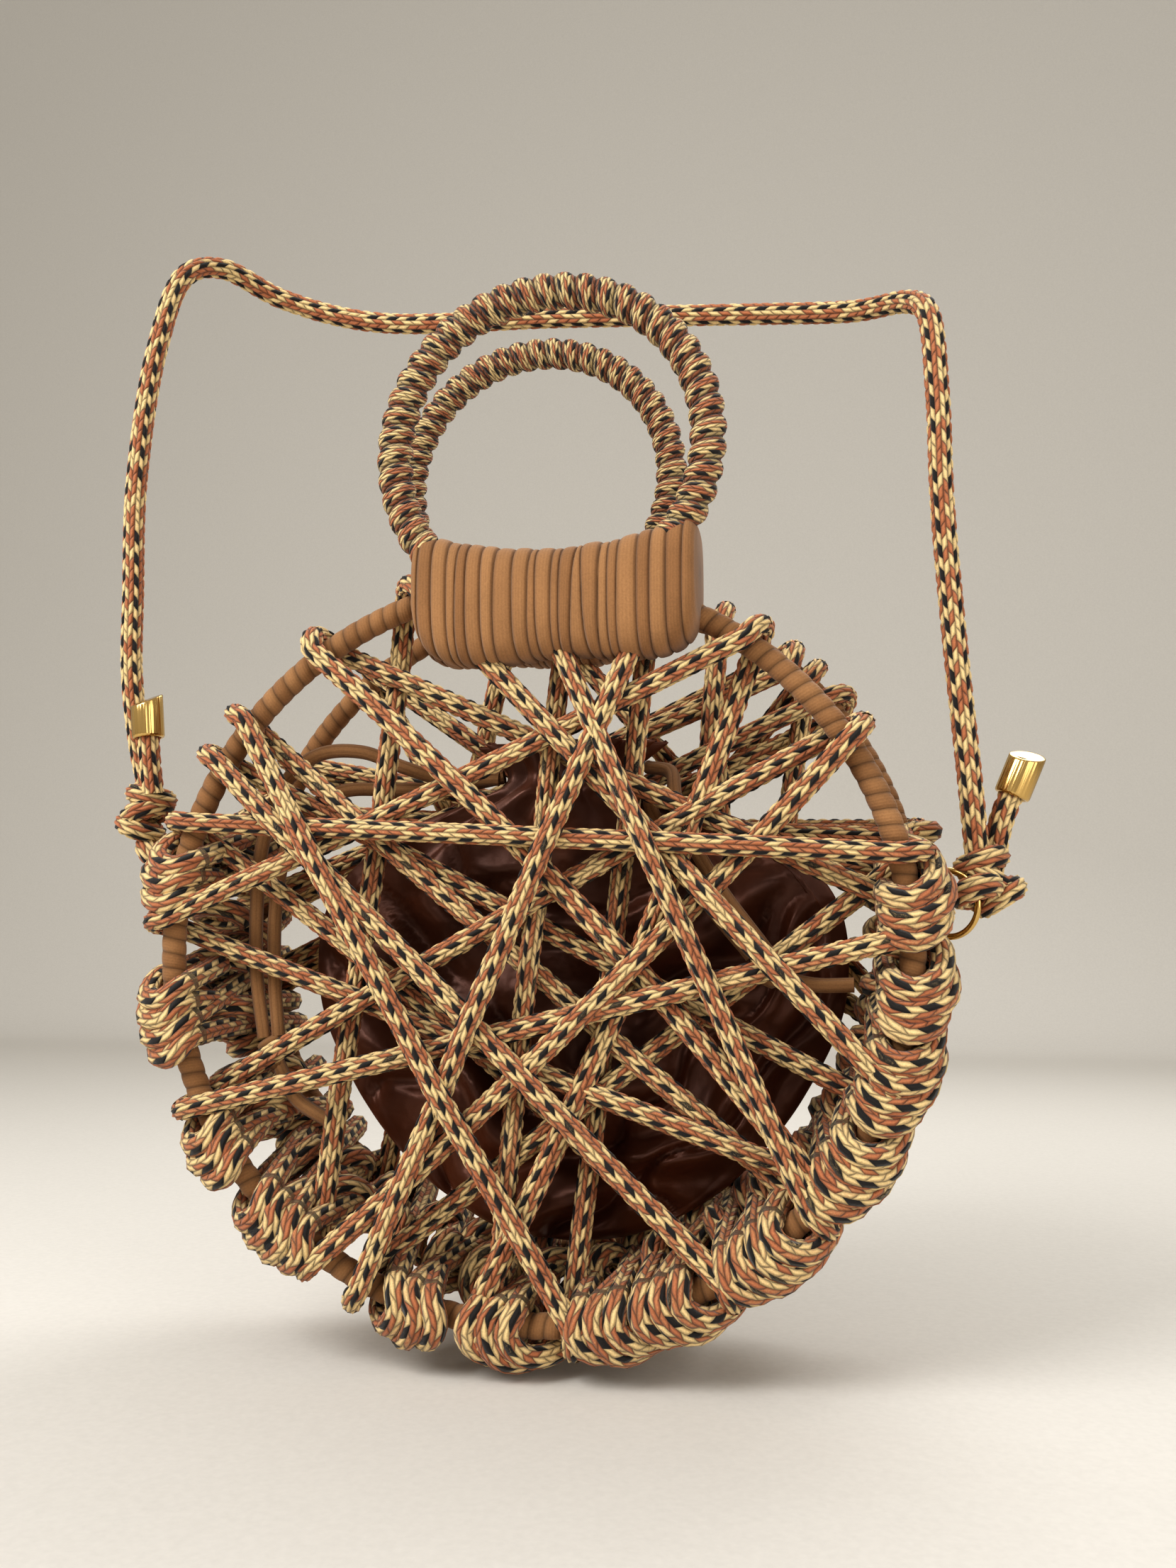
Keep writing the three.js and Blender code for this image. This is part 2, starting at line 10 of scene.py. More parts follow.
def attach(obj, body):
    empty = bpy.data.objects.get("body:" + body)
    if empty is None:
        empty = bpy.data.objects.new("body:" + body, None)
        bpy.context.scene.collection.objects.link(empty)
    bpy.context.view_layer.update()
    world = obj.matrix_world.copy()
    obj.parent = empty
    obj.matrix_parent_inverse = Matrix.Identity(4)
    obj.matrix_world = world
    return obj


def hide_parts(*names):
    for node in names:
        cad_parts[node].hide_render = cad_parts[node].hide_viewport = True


bl_info = {
    "name": "Round cord bag",
    "version": (1, 0, 0),
    "blender": (4, 5, 0),
    "location": "View3D > Sidebar > Cord bag",
    "description": "Makes a round bag of knitted cord piece by piece",
    "category": "Add Mesh",
}

MM = 0.001
REST = Vector((-8.0, 92.0, 282.0))

HOOP_HALF_WIDTH = 138.5
HOOP_HALF_HEIGHT = 133.5
HOOP_TUBE = 4.4
HOOP_SPACING = 72.0
BACK_LIFT = 10.6
FRONT_HOOP = Vector((0.0, 0.0, 0.0))
BACK_HOOP = Vector((0.6, HOOP_SPACING, BACK_LIFT))
MIDDLE_Y = HOOP_SPACING / 2

WEB_CORD = 3.9
STRAP_CORD = 4.4
DRAWSTRING = 2.7

HANDLE_TUBE = 6.4
HANDLE_RADIUS = 59.5
HANDLE_TURNS = 48
HANDLE_STANDOFF = HOOP_TUBE + HANDLE_TUBE + 0.6
FRONT_HANDLE = Vector((12.6, -HANDLE_STANDOFF, 181.5))
BACK_HANDLE = Vector((-16.5, HOOP_SPACING + HANDLE_STANDOFF, 202.0))

# Hoop angles that each binding covers
FRONT_COVERED = (62.0, 104.0)
BACK_COVERED = (78.0, 117.0)

# Left, right, front, back, top in the middle and bottom of each binding
FRONT_BINDING = (-38.0, 68.0, -21.3, 7.9, 143.0, 101.5)
BACK_BINDING = (-66.0, 34.0, 64.1, 93.3, 159.0, 118.0)

RING_RADIUS = 12.0
RING_WIRE = 1.2
LEFT_RING = Vector((-160.0, MIDDLE_Y, 28.0))
RIGHT_RING = Vector((152.0, MIDDLE_Y, 14.0))
RIGHT_TURN = math.radians(-35.0)

FLOOR_Z = -152.0
CAMERA_SPOT = Vector((135.28, -473.38, 0.07))
CAMERA_YAW = math.radians(13.086)
CAMERA_TILT = math.radians(6.70)
CAMERA_LENS = 30.92

STRAP_ROUTE = (
    (-174.5, 37, 64), (-179.5, 36.5, 84), (-184, 36, 114), (-185, 36, 149), (-185.5, 36, 200), (-179, 38, 262),
    (-170, 44, 297), (-160, 58, 306), (-140, 78, 299), (-100, 90, 289), (-8, 92, 282), (80, 90, 273),
    (122, 78, 264), (144, 58, 256), (151, 44, 244), (153.5, 36, 208), (154, 36, 165), (157, 36, 110),
    (160.5, 36.5, 62), (162.5, 37, 31),
)
LEFT_STRAP_TAIL = ((-167, 28, 61), (-169, 27.5, 76), (-171, 27.5, 98))
RIGHT_STRAP_TAIL = ((167, 45, 24), (172, 46, 45), (181, 46, 66))
LEFT_OUTER = (
    (-19, 35, 64.2), (-43, 32, 65), (-56, 26, 69), (-72, 22, 75), (-90, 20, 74), (-104, 19, 62), (-112, 19, 40),
    (-114, 19, 10), (-113, 19, -14), (-109.5, 19.5, -37),
)
LEFT_INNER = (
    (-19, 42.5, 66), (-42, 41, 62), (-62, 34, 61), (-82, 27, 60), (-97, 22, 50), (-104, 19.5, 30), (-106, 19, 10),
    (-105.5, 19, -14), (-103.5, 19.5, -36),
)
LEFT_TAIL = ((-104, 20, -46), (-95, 19, -60), (-81, 18.5, -68))
RIGHT_OUTER = ((38, 28, 61), (43.5, 22.5, 57), (45, 18, 50), (49, 16.6, 42), (61, 16.6, 21), (82, 17, -5))
RIGHT_INNER = (
    (40, 40, 68), (50, 33, 65), (54, 20, 54), (58, 16.6, 42), (69, 16.6, 22), (88, 17, -4),
)
RIGHT_TAIL = ((90, 17.3, -12), (104, 17, -15), (118, 17, -15))

LEFT_STRING_KNOT = (-106.5, 20, -42)
RIGHT_STRING_KNOT = (86, 18.4, -9)

# Each chord: hoop angles of its ends, the side of the hoop of each end (-1 towards the viewer, 1 away),
# the height of its middle across the bag and how far it bows sideways. The first row lies on top.
FRONT_CHORDS = (
    (141, 279, -1, -1, -12.0, 0.0),
    (88, 318, -1, -1, -12.0, 0.0),
    (68, 246, -1, -1, -11.0, 0.0),
    (149, 302, -1, -1, -10.5, 0.0),
    (160, 13, -1, -1, -8.5, 0.0),
    (105, 339, -1, -1, -9.0, 0.0),
    (31, 238, -1, -1, -7.0, 3.5),
    (1, 207, -1, -1, -5.5, 0.0),
    (125, 321, -1, -1, -7.0, 6.0),
    (53, 176, -1, -1, -5.0, 0.0),
    (205, 34, 1, 1, 1.5, 0.0),
    (178, 322, 1, 1, 2.0, 0.0),
    (52, 263, 1, 1, 3.0, 5.0),
    (83, 266, 1, -1, 3.0, 0.0),
    (123, 5, 1, 1, 4.0, 0.0),
    (142, 317, 1, 1, 5.0, 0.0),
    (149, 335.5, 1, 1, 5.0, 0.0),
    (12, 244, 1, 1, 5.0, 0.0),
    (162, 300.5, 1, 1, 6.0, 5.6),
    (111, 235, 1, 1, 7.0, 0.0),
    (70, 277, 1, 1, 7.0, 0.0),
)
BACK_CHORDS = (
    (128, 340, -1, -1, -9.5, 0.0),
    (40, 191, -1, -1, -9.0, 0.0),
    (62, 288, -1, -1, -9.0, 0.0),
    (150, 6, -1, -1, -8.0, 0.0),
    (99, 236, -1, -1, -7.0, 0.0),
    (48, 177, -1, -1, -6.0, 0.0),
    (13, 160, -1, -1, -5.0, 0.0),
    (44, 298, -1, -1, -4.0, 0.0),
    (64, 300, 1, 1, 2.0, 0.0),
    (37, 193, 1, 1, 3.0, 0.0),
    (97, 342, 1, 1, 4.0, 0.0),
    (130, 290, 1, 1, 5.0, 0.0),
    (46, 238, 1, 1, 6.0, 0.0),
    (152, 8, 1, 1, 7.0, 0.0),
    (52, 179, 1, 1, 7.5, 0.0),
    (162, 15, 1, 1, 8.0, 0.0),
)

# Groups of loops on the front hoop: hoop angle and how many strands lie side by side
FRONT_LOOPS = (
    (168, 3), (191, 4), (213, 3), (228.5, 4), (253, 3), (270, 3), (286, 3), (296, 3), (311, 4),
    (328, 4), (342, 4), (354, 3), (367, 3),
)

CREAM = "E2C48C"
TERRACOTTA = "AE6C47"
BLACK = "1A1512"
JERSEY = "8C6440"
JERSEY_WORN = "98704A"
# Shaded and lit colours of the satin, mixed into its painted shade and painted highlight
SATIN_PAINTED_SHADE = "2A140B"
SATIN_HIGHLIGHT = "8C5034"
GOLD = "CFAC6C"
PALE = "DAD6CF"
PALE_SHADE = "CFCBC4"


def placed(spot):
    """A point of the bag's own layout, in metres in the part's frame."""
    return (Vector(spot) - REST) * MM


def on_hoop(hoop, degrees, reach=0.0, across=0.0):
    angle = math.radians(degrees)
    return Vector((
        hoop.x + (HOOP_HALF_WIDTH + reach) * math.cos(angle),
        hoop.y + across,
        hoop.z + (HOOP_HALF_HEIGHT + reach) * math.sin(angle),
    ))


def linear(code):
    """An sRGB hex code as linear red, green, blue and alpha."""
    channels = [int(code[i:i + 2], 16) / 255 for i in (0, 2, 4)]
    return [c / 12.92 if c < 0.04045 else ((c + 0.055) / 1.055) ** 2.4 for c in channels] + [1.0]


def add_node(tree, kind, inputs=None, **settings):
    """A new node with its settings, its linked or constant inputs by name or index."""
    node = tree.nodes.new(kind)
    for key, value in settings.items():
        setattr(node, key, value)
    for key, value in (inputs or {}).items():
        if isinstance(value, bpy.types.NodeSocket):
            tree.links.new(value, node.inputs[key])
        else:
            node.inputs[key].default_value = value
    return node


def math_node(tree, operation, *values):
    return add_node(tree, "ShaderNodeMath", dict(enumerate(values)), operation=operation).outputs[0]


def bulge(tree, share, power):
    """1 in the middle of a cell and 0 at its edges."""
    edge = math_node(tree, "ABSOLUTE", math_node(tree, "MULTIPLY_ADD", share, 2.0, -1.0))
    return math_node(tree, "SUBTRACT", 1.0, math_node(tree, "POWER", edge, power))


def knit_cells(tree, along, around, columns, stitch):
    """Leaf-shaped stitches in columns that lean by turns: their height, and each one's column and row."""
    place = math_node(tree, "MULTIPLY", around, float(columns))
    column = math_node(tree, "FLOOR", place)
    across = math_node(tree, "FRACT", place)
    parity = math_node(tree, "MODULO", column, 2.0)
    lean = math_node(tree, "MULTIPLY_ADD", parity, 2.0, -1.0)
    shift = math_node(tree, "MULTIPLY", math_node(tree, "SUBTRACT", across, 0.5), lean)
    shift = math_node(tree, "MULTIPLY_ADD", parity, 0.5, math_node(tree, "MULTIPLY", shift, 0.5))
    run = math_node(tree, "ADD", math_node(tree, "DIVIDE", along, stitch * MM), shift)
    row = math_node(tree, "FLOOR", run)
    height = math_node(
        tree, "MULTIPLY", bulge(tree, across, 2.0), bulge(tree, math_node(tree, "FRACT", run), 4.0),
    )
    return height, column, row


def wrap_cells(tree, along, around, pitch):
    """Turns of cloth strip round a tube: each turn's height, its share across and its number."""
    run = math_node(tree, "ADD", math_node(tree, "DIVIDE", along, pitch * MM), around)
    share = math_node(tree, "FRACT", run)
    return bulge(tree, share, 3.0), share, math_node(tree, "FLOOR", run)


def new_material(name, roughness, metallic=0.0):
    material = bpy.data.materials.new(name)
    material.use_nodes = True
    shader = material.node_tree.nodes["Principled BSDF"]
    shader.inputs["Roughness"].default_value = roughness
    shader.inputs["Metallic"].default_value = metallic
    return material, material.node_tree, shader


def attribute(tree, name):
    return add_node(tree, "ShaderNodeAttribute", attribute_name=name).outputs["Fac"]


def mixed(tree, factor, first, second):
    node = add_node(tree, "ShaderNodeMix", {0: factor}, data_type="RGBA")
    for socket, value in ((node.inputs[6], first), (node.inputs[7], second)):
        if isinstance(value, bpy.types.NodeSocket):
            tree.links.new(value, socket)
        else:
            socket.default_value = value
    return node.outputs[2]


def knitted_cotton(name, columns, stitch, turn_length=0.0):
    # Three cotton yarns knitted into a cord, laid straight or wound round a core, with painted shade between its
    # stitches and turns
    material, tree, shader = new_material(name, 0.8)
    along = attribute(tree, "along")
    around = attribute(tree, "around")
    strand = attribute(tree, "strand")
    edge = 1.0
    if turn_length:
        phase = math_node(tree, "SUBTRACT", along, around)
        turn = math_node(tree, "FLOOR", phase)
        share = math_node(tree, "FRACT", phase)
        # Painted shade: darker towards the edges of each turn of a wound cord
        edge = math_node(tree, "MULTIPLY_ADD", bulge(tree, share, 3.0), 0.82, 0.18)
        along = math_node(tree, "MULTIPLY", math_node(tree, "ADD", turn, around), turn_length * MM)
        around = math_node(tree, "MULTIPLY", share, 0.5)
    height, column, row = knit_cells(tree, along, around, columns, stitch)
    cell = add_node(tree, "ShaderNodeCombineXYZ", {0: column, 1: row, 2: strand}).outputs[0]
    chance = add_node(tree, "ShaderNodeTexWhiteNoise", {"Vector": cell}, noise_dimensions="3D").outputs["Value"]
    kind = math_node(tree, "MODULO", column, 3.0)
    dashed = math_node(tree, "COMPARE", kind, 1.0, 0.1)
    plain = math_node(tree, "COMPARE", kind, 0.0, 0.1)
    even = math_node(tree, "MODULO", math_node(tree, "ADD", row, 64.0), 2.0)
    black = math_node(tree, "MULTIPLY", math_node(tree, "MULTIPLY", dashed, even),
                      math_node(tree, "GREATER_THAN", chance, 0.08))
    mostly = math_node(tree, "MULTIPLY", plain, math_node(tree, "LESS_THAN", chance, 0.68))
    by_turns = math_node(tree, "ABSOLUTE", math_node(tree, "SUBTRACT", even, math_node(tree, "GREATER_THAN", chance, 0.8)))
    others = math_node(tree, "SUBTRACT", 1.0, math_node(tree, "ADD", plain, dashed))
    rust = math_node(tree, "MULTIPLY_ADD", others, by_turns, mostly)
    spot = add_node(tree, "ShaderNodeTexCoord").outputs["Object"]
    fibre = add_node(tree, "ShaderNodeTexNoise", {"Vector": spot, "Scale": 1900.0, "Detail": 2.0}).outputs["Fac"]
    hue = mixed(tree, black, mixed(tree, rust, linear(CREAM), linear(TERRACOTTA)), linear(BLACK))
    # Painted shade: the colour darkens towards the edges of each stitch; the fibre noise is the yarn's own tone
    shade = math_node(tree, "MULTIPLY_ADD", math_node(tree, "POWER", height, 0.6), 0.85, 0.2)
    shade = math_node(tree, "MULTIPLY", shade, math_node(tree, "MULTIPLY_ADD", fibre, 0.7, 0.68))
    shade = math_node(tree, "MULTIPLY", shade, edge)
    toned = add_node(tree, "ShaderNodeVectorMath", {0: hue, 1: shade}, operation="MULTIPLY").outputs[0]
    tree.links.new(toned, shader.inputs["Base Color"])
    relief = math_node(tree, "MULTIPLY_ADD", fibre, 0.2, height)
    bump = add_node(tree, "ShaderNodeBump", {"Height": relief, "Distance": 0.0007, "Strength": 1.0})
    tree.links.new(bump.outputs[0], shader.inputs["Normal"])
    shader.inputs["Sheen Weight"].default_value = 0.15
    shader.inputs["Specular IOR Level"].default_value = 0.35
    return material


def jersey_cotton(name, pitch=0.0, ribs=0.0):
    # Cotton jersey strip: wound in turns of one pitch, or of uneven ones, or run along as a ribbed cord, with painted
    # shade between its wraps and ribs
    material, tree, shader = new_material(name, 0.95)
    along = attribute(tree, "along")
    around = attribute(tree, "around")
    if pitch:
        height, share, number = wrap_cells(tree, along, around, pitch)
    else:
        place = math_node(tree, "MULTIPLY", around, ribs) if ribs else along
        share = math_node(tree, "FRACT", place)
        height = bulge(tree, share, 2.0 if ribs else 5.0)
        if ribs:
            height = math_node(tree, "MULTIPLY_ADD", height, 0.35, 0.65)
        number = math_node(tree, "FLOOR", place)
    spot = add_node(tree, "ShaderNodeTexCoord").outputs["Object"]
    knit = add_node(tree, "ShaderNodeTexNoise", {"Vector": spot, "Scale": 1600.0, "Detail": 1.0}).outputs["Fac"]
    patch = add_node(tree, "ShaderNodeTexNoise", {"Vector": spot, "Scale": 60.0}).outputs["Fac"]
    tone = add_node(tree, "ShaderNodeTexWhiteNoise", {"W": number}, noise_dimensions="1D").outputs["Value"]
    rib = math_node(tree, "SINE", math_node(tree, "MULTIPLY", share, 31.4))
    # Painted shade: darker towards the edges of each wrap or rib and along five fine ribs across it; the tone of each
    # wrap, the knit and the patches are the cloth's own
    shade = math_node(tree, "MULTIPLY_ADD", math_node(tree, "POWER", height, 0.5), 0.62, 0.38)
    shade = math_node(tree, "MULTIPLY", shade, math_node(tree, "MULTIPLY_ADD", rib, 0.035, 1.0))
    shade = math_node(tree, "MULTIPLY", shade, math_node(tree, "MULTIPLY_ADD", tone, 0.1, 0.92))
    shade = math_node(tree, "MULTIPLY", shade, math_node(tree, "MULTIPLY_ADD", knit, 0.4, 0.82))
    shade = math_node(tree, "MULTIPLY", shade, math_node(tree, "MULTIPLY_ADD", patch, 0.3, 0.85))
    base = mixed(tree, tone, linear(JERSEY), linear(JERSEY_WORN))
    toned = add_node(tree, "ShaderNodeVectorMath", {0: base, 1: shade}, operation="MULTIPLY").outputs[0]
    tree.links.new(toned, shader.inputs["Base Color"])
    relief = math_node(tree, "ADD", math_node(tree, "MULTIPLY_ADD", knit, 0.12, height),
                       math_node(tree, "MULTIPLY", rib, 0.05))
    bump = add_node(tree, "ShaderNodeBump", {"Height": relief, "Distance": 0.0006, "Strength": 0.8})
    tree.links.new(bump.outputs[0], shader.inputs["Normal"])
    shader.inputs["Sheen Weight"].default_value = 0.15
    shader.inputs["Specular IOR Level"].default_value = 0.25
    return material


def brown_satin():
    # Polyester satin with painted shade and painted highlight: noise patches mix a shaded and a lit brown, lighter
    # towards grazing angles as a painted sheen
    material, tree, shader = new_material("brown_satin", 0.4, 0.45)
    spot = add_node(tree, "ShaderNodeTexCoord").outputs["Object"]
    fold_shade_noise = add_node(tree, "ShaderNodeTexNoise", {"Vector": spot, "Scale": 24.0, "Detail": 2.0, "Distortion": 0.8})
    # Painted sheen: the colour turns lighter where the cloth faces away from the view
    facing = add_node(tree, "ShaderNodeLayerWeight", {"Blend": 0.45}).outputs["Facing"]
    tone = math_node(tree, "MULTIPLY", fold_shade_noise.outputs["Fac"], math_node(tree, "MULTIPLY_ADD", facing, 0.8, 0.5))
    tree.links.new(mixed(tree, tone, linear(SATIN_PAINTED_SHADE), linear(SATIN_HIGHLIGHT)), shader.inputs["Base Color"])
    threads = add_node(tree, "ShaderNodeTexNoise", {"Vector": spot, "Scale": 1500.0, "Detail": 2.0}).outputs["Fac"]
    soft = add_node(tree, "ShaderNodeTexNoise", {"Vector": spot, "Scale": 90.0, "Detail": 2.0}).outputs["Fac"]
    relief = math_node(tree, "MULTIPLY_ADD", threads, 0.03, soft)
    bump = add_node(tree, "ShaderNodeBump", {"Height": relief, "Distance": 0.0025, "Strength": 0.4})
    tree.links.new(bump.outputs[0], shader.inputs["Normal"])
    shader.inputs["Sheen Weight"].default_value = 0.15
    shader.inputs["Sheen Tint"].default_value = linear(SATIN_HIGHLIGHT)
    shader.inputs["Sheen Roughness"].default_value = 0.4
    shader.inputs["Anisotropic"].default_value = 0.5
    return material


def polished_gold():
    # Gold-plated brass
    material, _, shader = new_material("polished_gold", 0.2, 1.0)
    shader.inputs["Base Color"].default_value = linear(GOLD)
    return material


def cord_nodes(name, radius, columns, stitch, step, depth, flat=1.0, wrap=0.0):
    """A node group that makes a tube along each spline, with its stitches or turns raised in real depth."""
    tree = bpy.data.node_groups.new(name, "GeometryNodeTree")
    tree.interface.new_socket("Geometry", in_out="INPUT", socket_type="NodeSocketGeometry")
    tree.interface.new_socket("Geometry", in_out="OUTPUT", socket_type="NodeSocketGeometry")
    tree.interface.new_socket("Material", in_out="INPUT", socket_type="NodeSocketMaterial")
    source = add_node(tree, "NodeGroupInput")
    smooth = add_node(tree, "GeometryNodeCurveSplineType", {"Curve": source.outputs[0]}, spline_type="CATMULL_ROM")
    even = add_node(tree, "GeometryNodeResampleCurve", {"Curve": smooth.outputs[0], "Length": step * MM}, mode="LENGTH")
    length = add_node(tree, "GeometryNodeSplineParameter").outputs["Length"]
    ends = add_node(tree, "GeometryNodeCurveEndpointSelection").outputs[0]
    looped = add_node(tree, "GeometryNodeInputSplineCyclic").outputs[0]
    tips = math_node(tree, "MULTIPLY", ends, math_node(tree, "SUBTRACT", 1.0, looped))
    kept = add_node(tree, "GeometryNodeCaptureAttribute", {"Geometry": even.outputs[0]})
    for label, value in (("along", length), ("tip", tips)):
        kept.capture_items.new("FLOAT", label)
        tree.links.new(value, kept.inputs[label])
    thin = add_node(tree, "GeometryNodeSetCurveRadius", {
        "Curve": kept.outputs[0], "Radius": math_node(tree, "SUBTRACT", 1.0, math_node(tree, "MULTIPLY", kept.outputs["tip"], 0.99)),
    })
    profile = add_node(tree, "GeometryNodeCurveArc", {
        "Resolution": 2 * columns + 1, "Radius": radius * MM, "Start Angle": 0.0, "Sweep Angle": math.tau,
    })
    pressed = add_node(tree, "GeometryNodeTransform", {"Geometry": profile.outputs[0], "Scale": (1.0, flat, 1.0)})
    factor = add_node(tree, "GeometryNodeSplineParameter").outputs["Factor"]
    ringed = add_node(tree, "GeometryNodeCaptureAttribute", {"Geometry": pressed.outputs[0]})
    ringed.capture_items.new("FLOAT", "around")
    tree.links.new(factor, ringed.inputs["around"])
    tube = add_node(tree, "GeometryNodeCurveToMesh", {
        "Curve": thin.outputs[0], "Profile Curve": ringed.outputs[0], "Fill Caps": False,
    })
    along = kept.outputs["along"]
    around = ringed.outputs["around"]
    island = add_node(tree, "GeometryNodeInputMeshIsland").outputs["Island Index"]
    stored = tube.outputs[0]
    for label, value in (("along", along), ("around", around), ("strand", island)):
        stored = add_node(tree, "GeometryNodeStoreNamedAttribute", {
            "Geometry": stored, "Name": label, "Value": value,
        }, data_type="FLOAT", domain="CORNER").outputs[0]
    if wrap:
        height = wrap_cells(tree, along, around, wrap)[0]
    else:
        height = knit_cells(tree, along, around, columns, stitch)[0]
    normal = add_node(tree, "GeometryNodeInputNormal").outputs[0]
    body = math_node(tree, "SUBTRACT", 1.0, kept.outputs["tip"])
    lift = math_node(tree, "MULTIPLY", math_node(tree, "SUBTRACT", height, 0.6), math_node(tree, "MULTIPLY", body, depth * MM))
    offset = add_node(tree, "ShaderNodeVectorMath", {0: normal, "Scale": lift}, operation="SCALE").outputs[0]
    moved = add_node(tree, "GeometryNodeSetPosition", {"Geometry": stored, "Offset": offset})
    closed = add_node(tree, "GeometryNodeMergeByDistance", {"Geometry": moved.outputs[0], "Distance": 0.00016})
    shaded = add_node(tree, "GeometryNodeSetShadeSmooth", {"Geometry": closed.outputs[0]})
    dressed = add_node(tree, "GeometryNodeSetMaterial", {"Geometry": shaded.outputs[0], "Material": source.outputs[1]})
    add_node(tree, "NodeGroupOutput", {0: dressed.outputs[0]})
    return tree


def strand_object(name, routes, group, material, cyclic=False):
    """A curve object with one spline for each route, dressed by a node group."""
    curve = bpy.data.curves.new(name, "CURVE")
    curve.dimensions = "3D"
    for route in routes:
        spline = curve.splines.new("POLY")
        spline.points.add(len(route) - 1)
        for spot, target in zip(route, spline.points):
            target.co = (*placed(spot), 1.0)
        spline.use_cyclic_u = cyclic
    piece = bpy.data.objects.new(name, curve)
    bpy.context.scene.collection.objects.link(piece)
    curve.materials.append(material)
    modifier = piece.modifiers.new("Cord", "NODES")
    modifier.node_group = group
    modifier[group.interface.items_tree["Material"].identifier] = material
    return piece


def smooth_route(points, samples=10):
    """Points along a centripetal Catmull-Rom curve through the given ones."""
    spots = [Vector(p) for p in points]
    spots = [2 * spots[0] - spots[1], *spots, 2 * spots[-1] - spots[-2]]
    line = []
    for a, b, c, d in zip(spots, spots[1:], spots[2:], spots[3:]):
        knots = [0.0]
        for start, end in ((a, b), (b, c), (c, d)):
            knots.append(knots[-1] + max((end - start).length, 1e-6) ** 0.5)
        for i in range(samples):
            t = knots[1] + (knots[2] - knots[1]) * i / samples
            ab = a.lerp(b, (t - knots[0]) / (knots[1] - knots[0]))
            bc = b.lerp(c, (t - knots[1]) / (knots[2] - knots[1]))
            cd = c.lerp(d, (t - knots[2]) / (knots[3] - knots[2]))
            abc = ab.lerp(bc, (t - knots[0]) / (knots[2] - knots[0]))
            bcd = bc.lerp(cd, (t - knots[1]) / (knots[3] - knots[1]))
            line.append(abc.lerp(bcd, (t - knots[1]) / (knots[2] - knots[1])))
    return [*line, spots[-2]]


def turned_ends(chords):
    """For each chord's two ends, the hoop angle where its turn meets the one from the hoop's other side."""
    ends = [(row[k], row[2 + k], index, k) for index, row in enumerate(chords) for k in (0, 1)]
    front = sorted(end for end in ends if end[1] < 0)
    behind = sorted(end for end in ends if end[1] > 0)

    def apart(shift):
        pairs = zip(front, behind[shift:] + behind[:shift])
        return sum(abs((a[0] - b[0] + 180) % 360 - 180) for a, b in pairs)

    best = min(range(len(behind)), key=apart)
    meets = {}
    for a, b in zip(front, behind[best:] + behind[:best]):
        gap = (b[0] - a[0] + 180) % 360 - 180
        meets[a[2:]] = a[0] + gap / 2
        meets[b[2:]] = a[0] + gap / 2
    return meets


def web_routes(hoop, chords):
    """Each chord from one turn over the hoop to the other, pressed over and under those that it crosses."""
    seat = HOOP_TUBE + WEB_CORD
    stack = 1.62 * WEB_CORD
    steps = 22
    lines = []
    for first, last, side_a, side_b, middle, bow in chords:
        start, end = on_hoop(hoop, first), on_hoop(hoop, last)
        run = (end - start).normalized()
        side = Vector((-run.z, 0.0, run.x))
        line = []
        for i in range(steps + 1):
            t = i / steps
            hump = 4 * t * (1 - t)
            across = (1 - t) * side_a * seat + t * side_b * seat
            across += (middle - (side_a + side_b) / 2 * seat) * hump
            spot = start.lerp(end, t) + side * bow * hump
            line.append(Vector((spot.x, hoop.y + across, spot.z)))
        lines.append(line)
    touching = []
    for i, upper in enumerate(lines):
        for j in range(i + 1, len(lines)):
            lower = lines[j]
            for a in range(1, steps):
                for b in range(1, steps):
                    gap = Vector((upper[a].x - lower[b].x, upper[a].z - lower[b].z)).length
                    if gap < 1.5 * WEB_CORD:
                        touching.append((i, a, j, b, stack * (1 - (gap / (2.2 * WEB_CORD)) ** 2)))
    for _ in range(40):
        for line in lines:
            eased = [(p.y + 2 * q.y + r.y) / 4 for p, q, r in zip(line, line[1:], line[2:])]
            for spot, y in zip(line[1:-1], eased):
                spot.y = y
        for i, a, j, b, needed in touching:
            short = needed - (lines[j][b].y - lines[i][a].y)
            if short > 0:
                lines[i][a].y -= 0.5 * short
                lines[j][b].y += 0.5 * short
    meets = turned_ends(chords)
    routes = []
    for index, (row, line) in enumerate(zip(chords, lines)):
        head = half_turn(hoop, meets[(index, 0)], row[0], row[2])
        tail = half_turn(hoop, meets[(index, 1)], row[1], row[3])
        routes.append([*head, *line[1:-1], *reversed(tail)])
    return routes


def half_turn(hoop, outer, inner, side):
    """From the outside of the hoop, where the turn meets its other half, to the hoop's front or back.
    Under a binding only the last of it is left."""
    seat = HOOP_TUBE + WEB_CORD
    covered = FRONT_COVERED if hoop is FRONT_HOOP else BACK_COVERED
    spots = []
    for i in range(4 if covered[0] < outer < covered[1] else -1, 6):
        t = i / 5
        turn = math.radians(90 * t)
        degrees = outer + ((inner - outer + 180) % 360 - 180) * t
        spots.append(on_hoop(hoop, degrees, seat * math.cos(turn), side * seat * math.sin(turn)))
    return spots


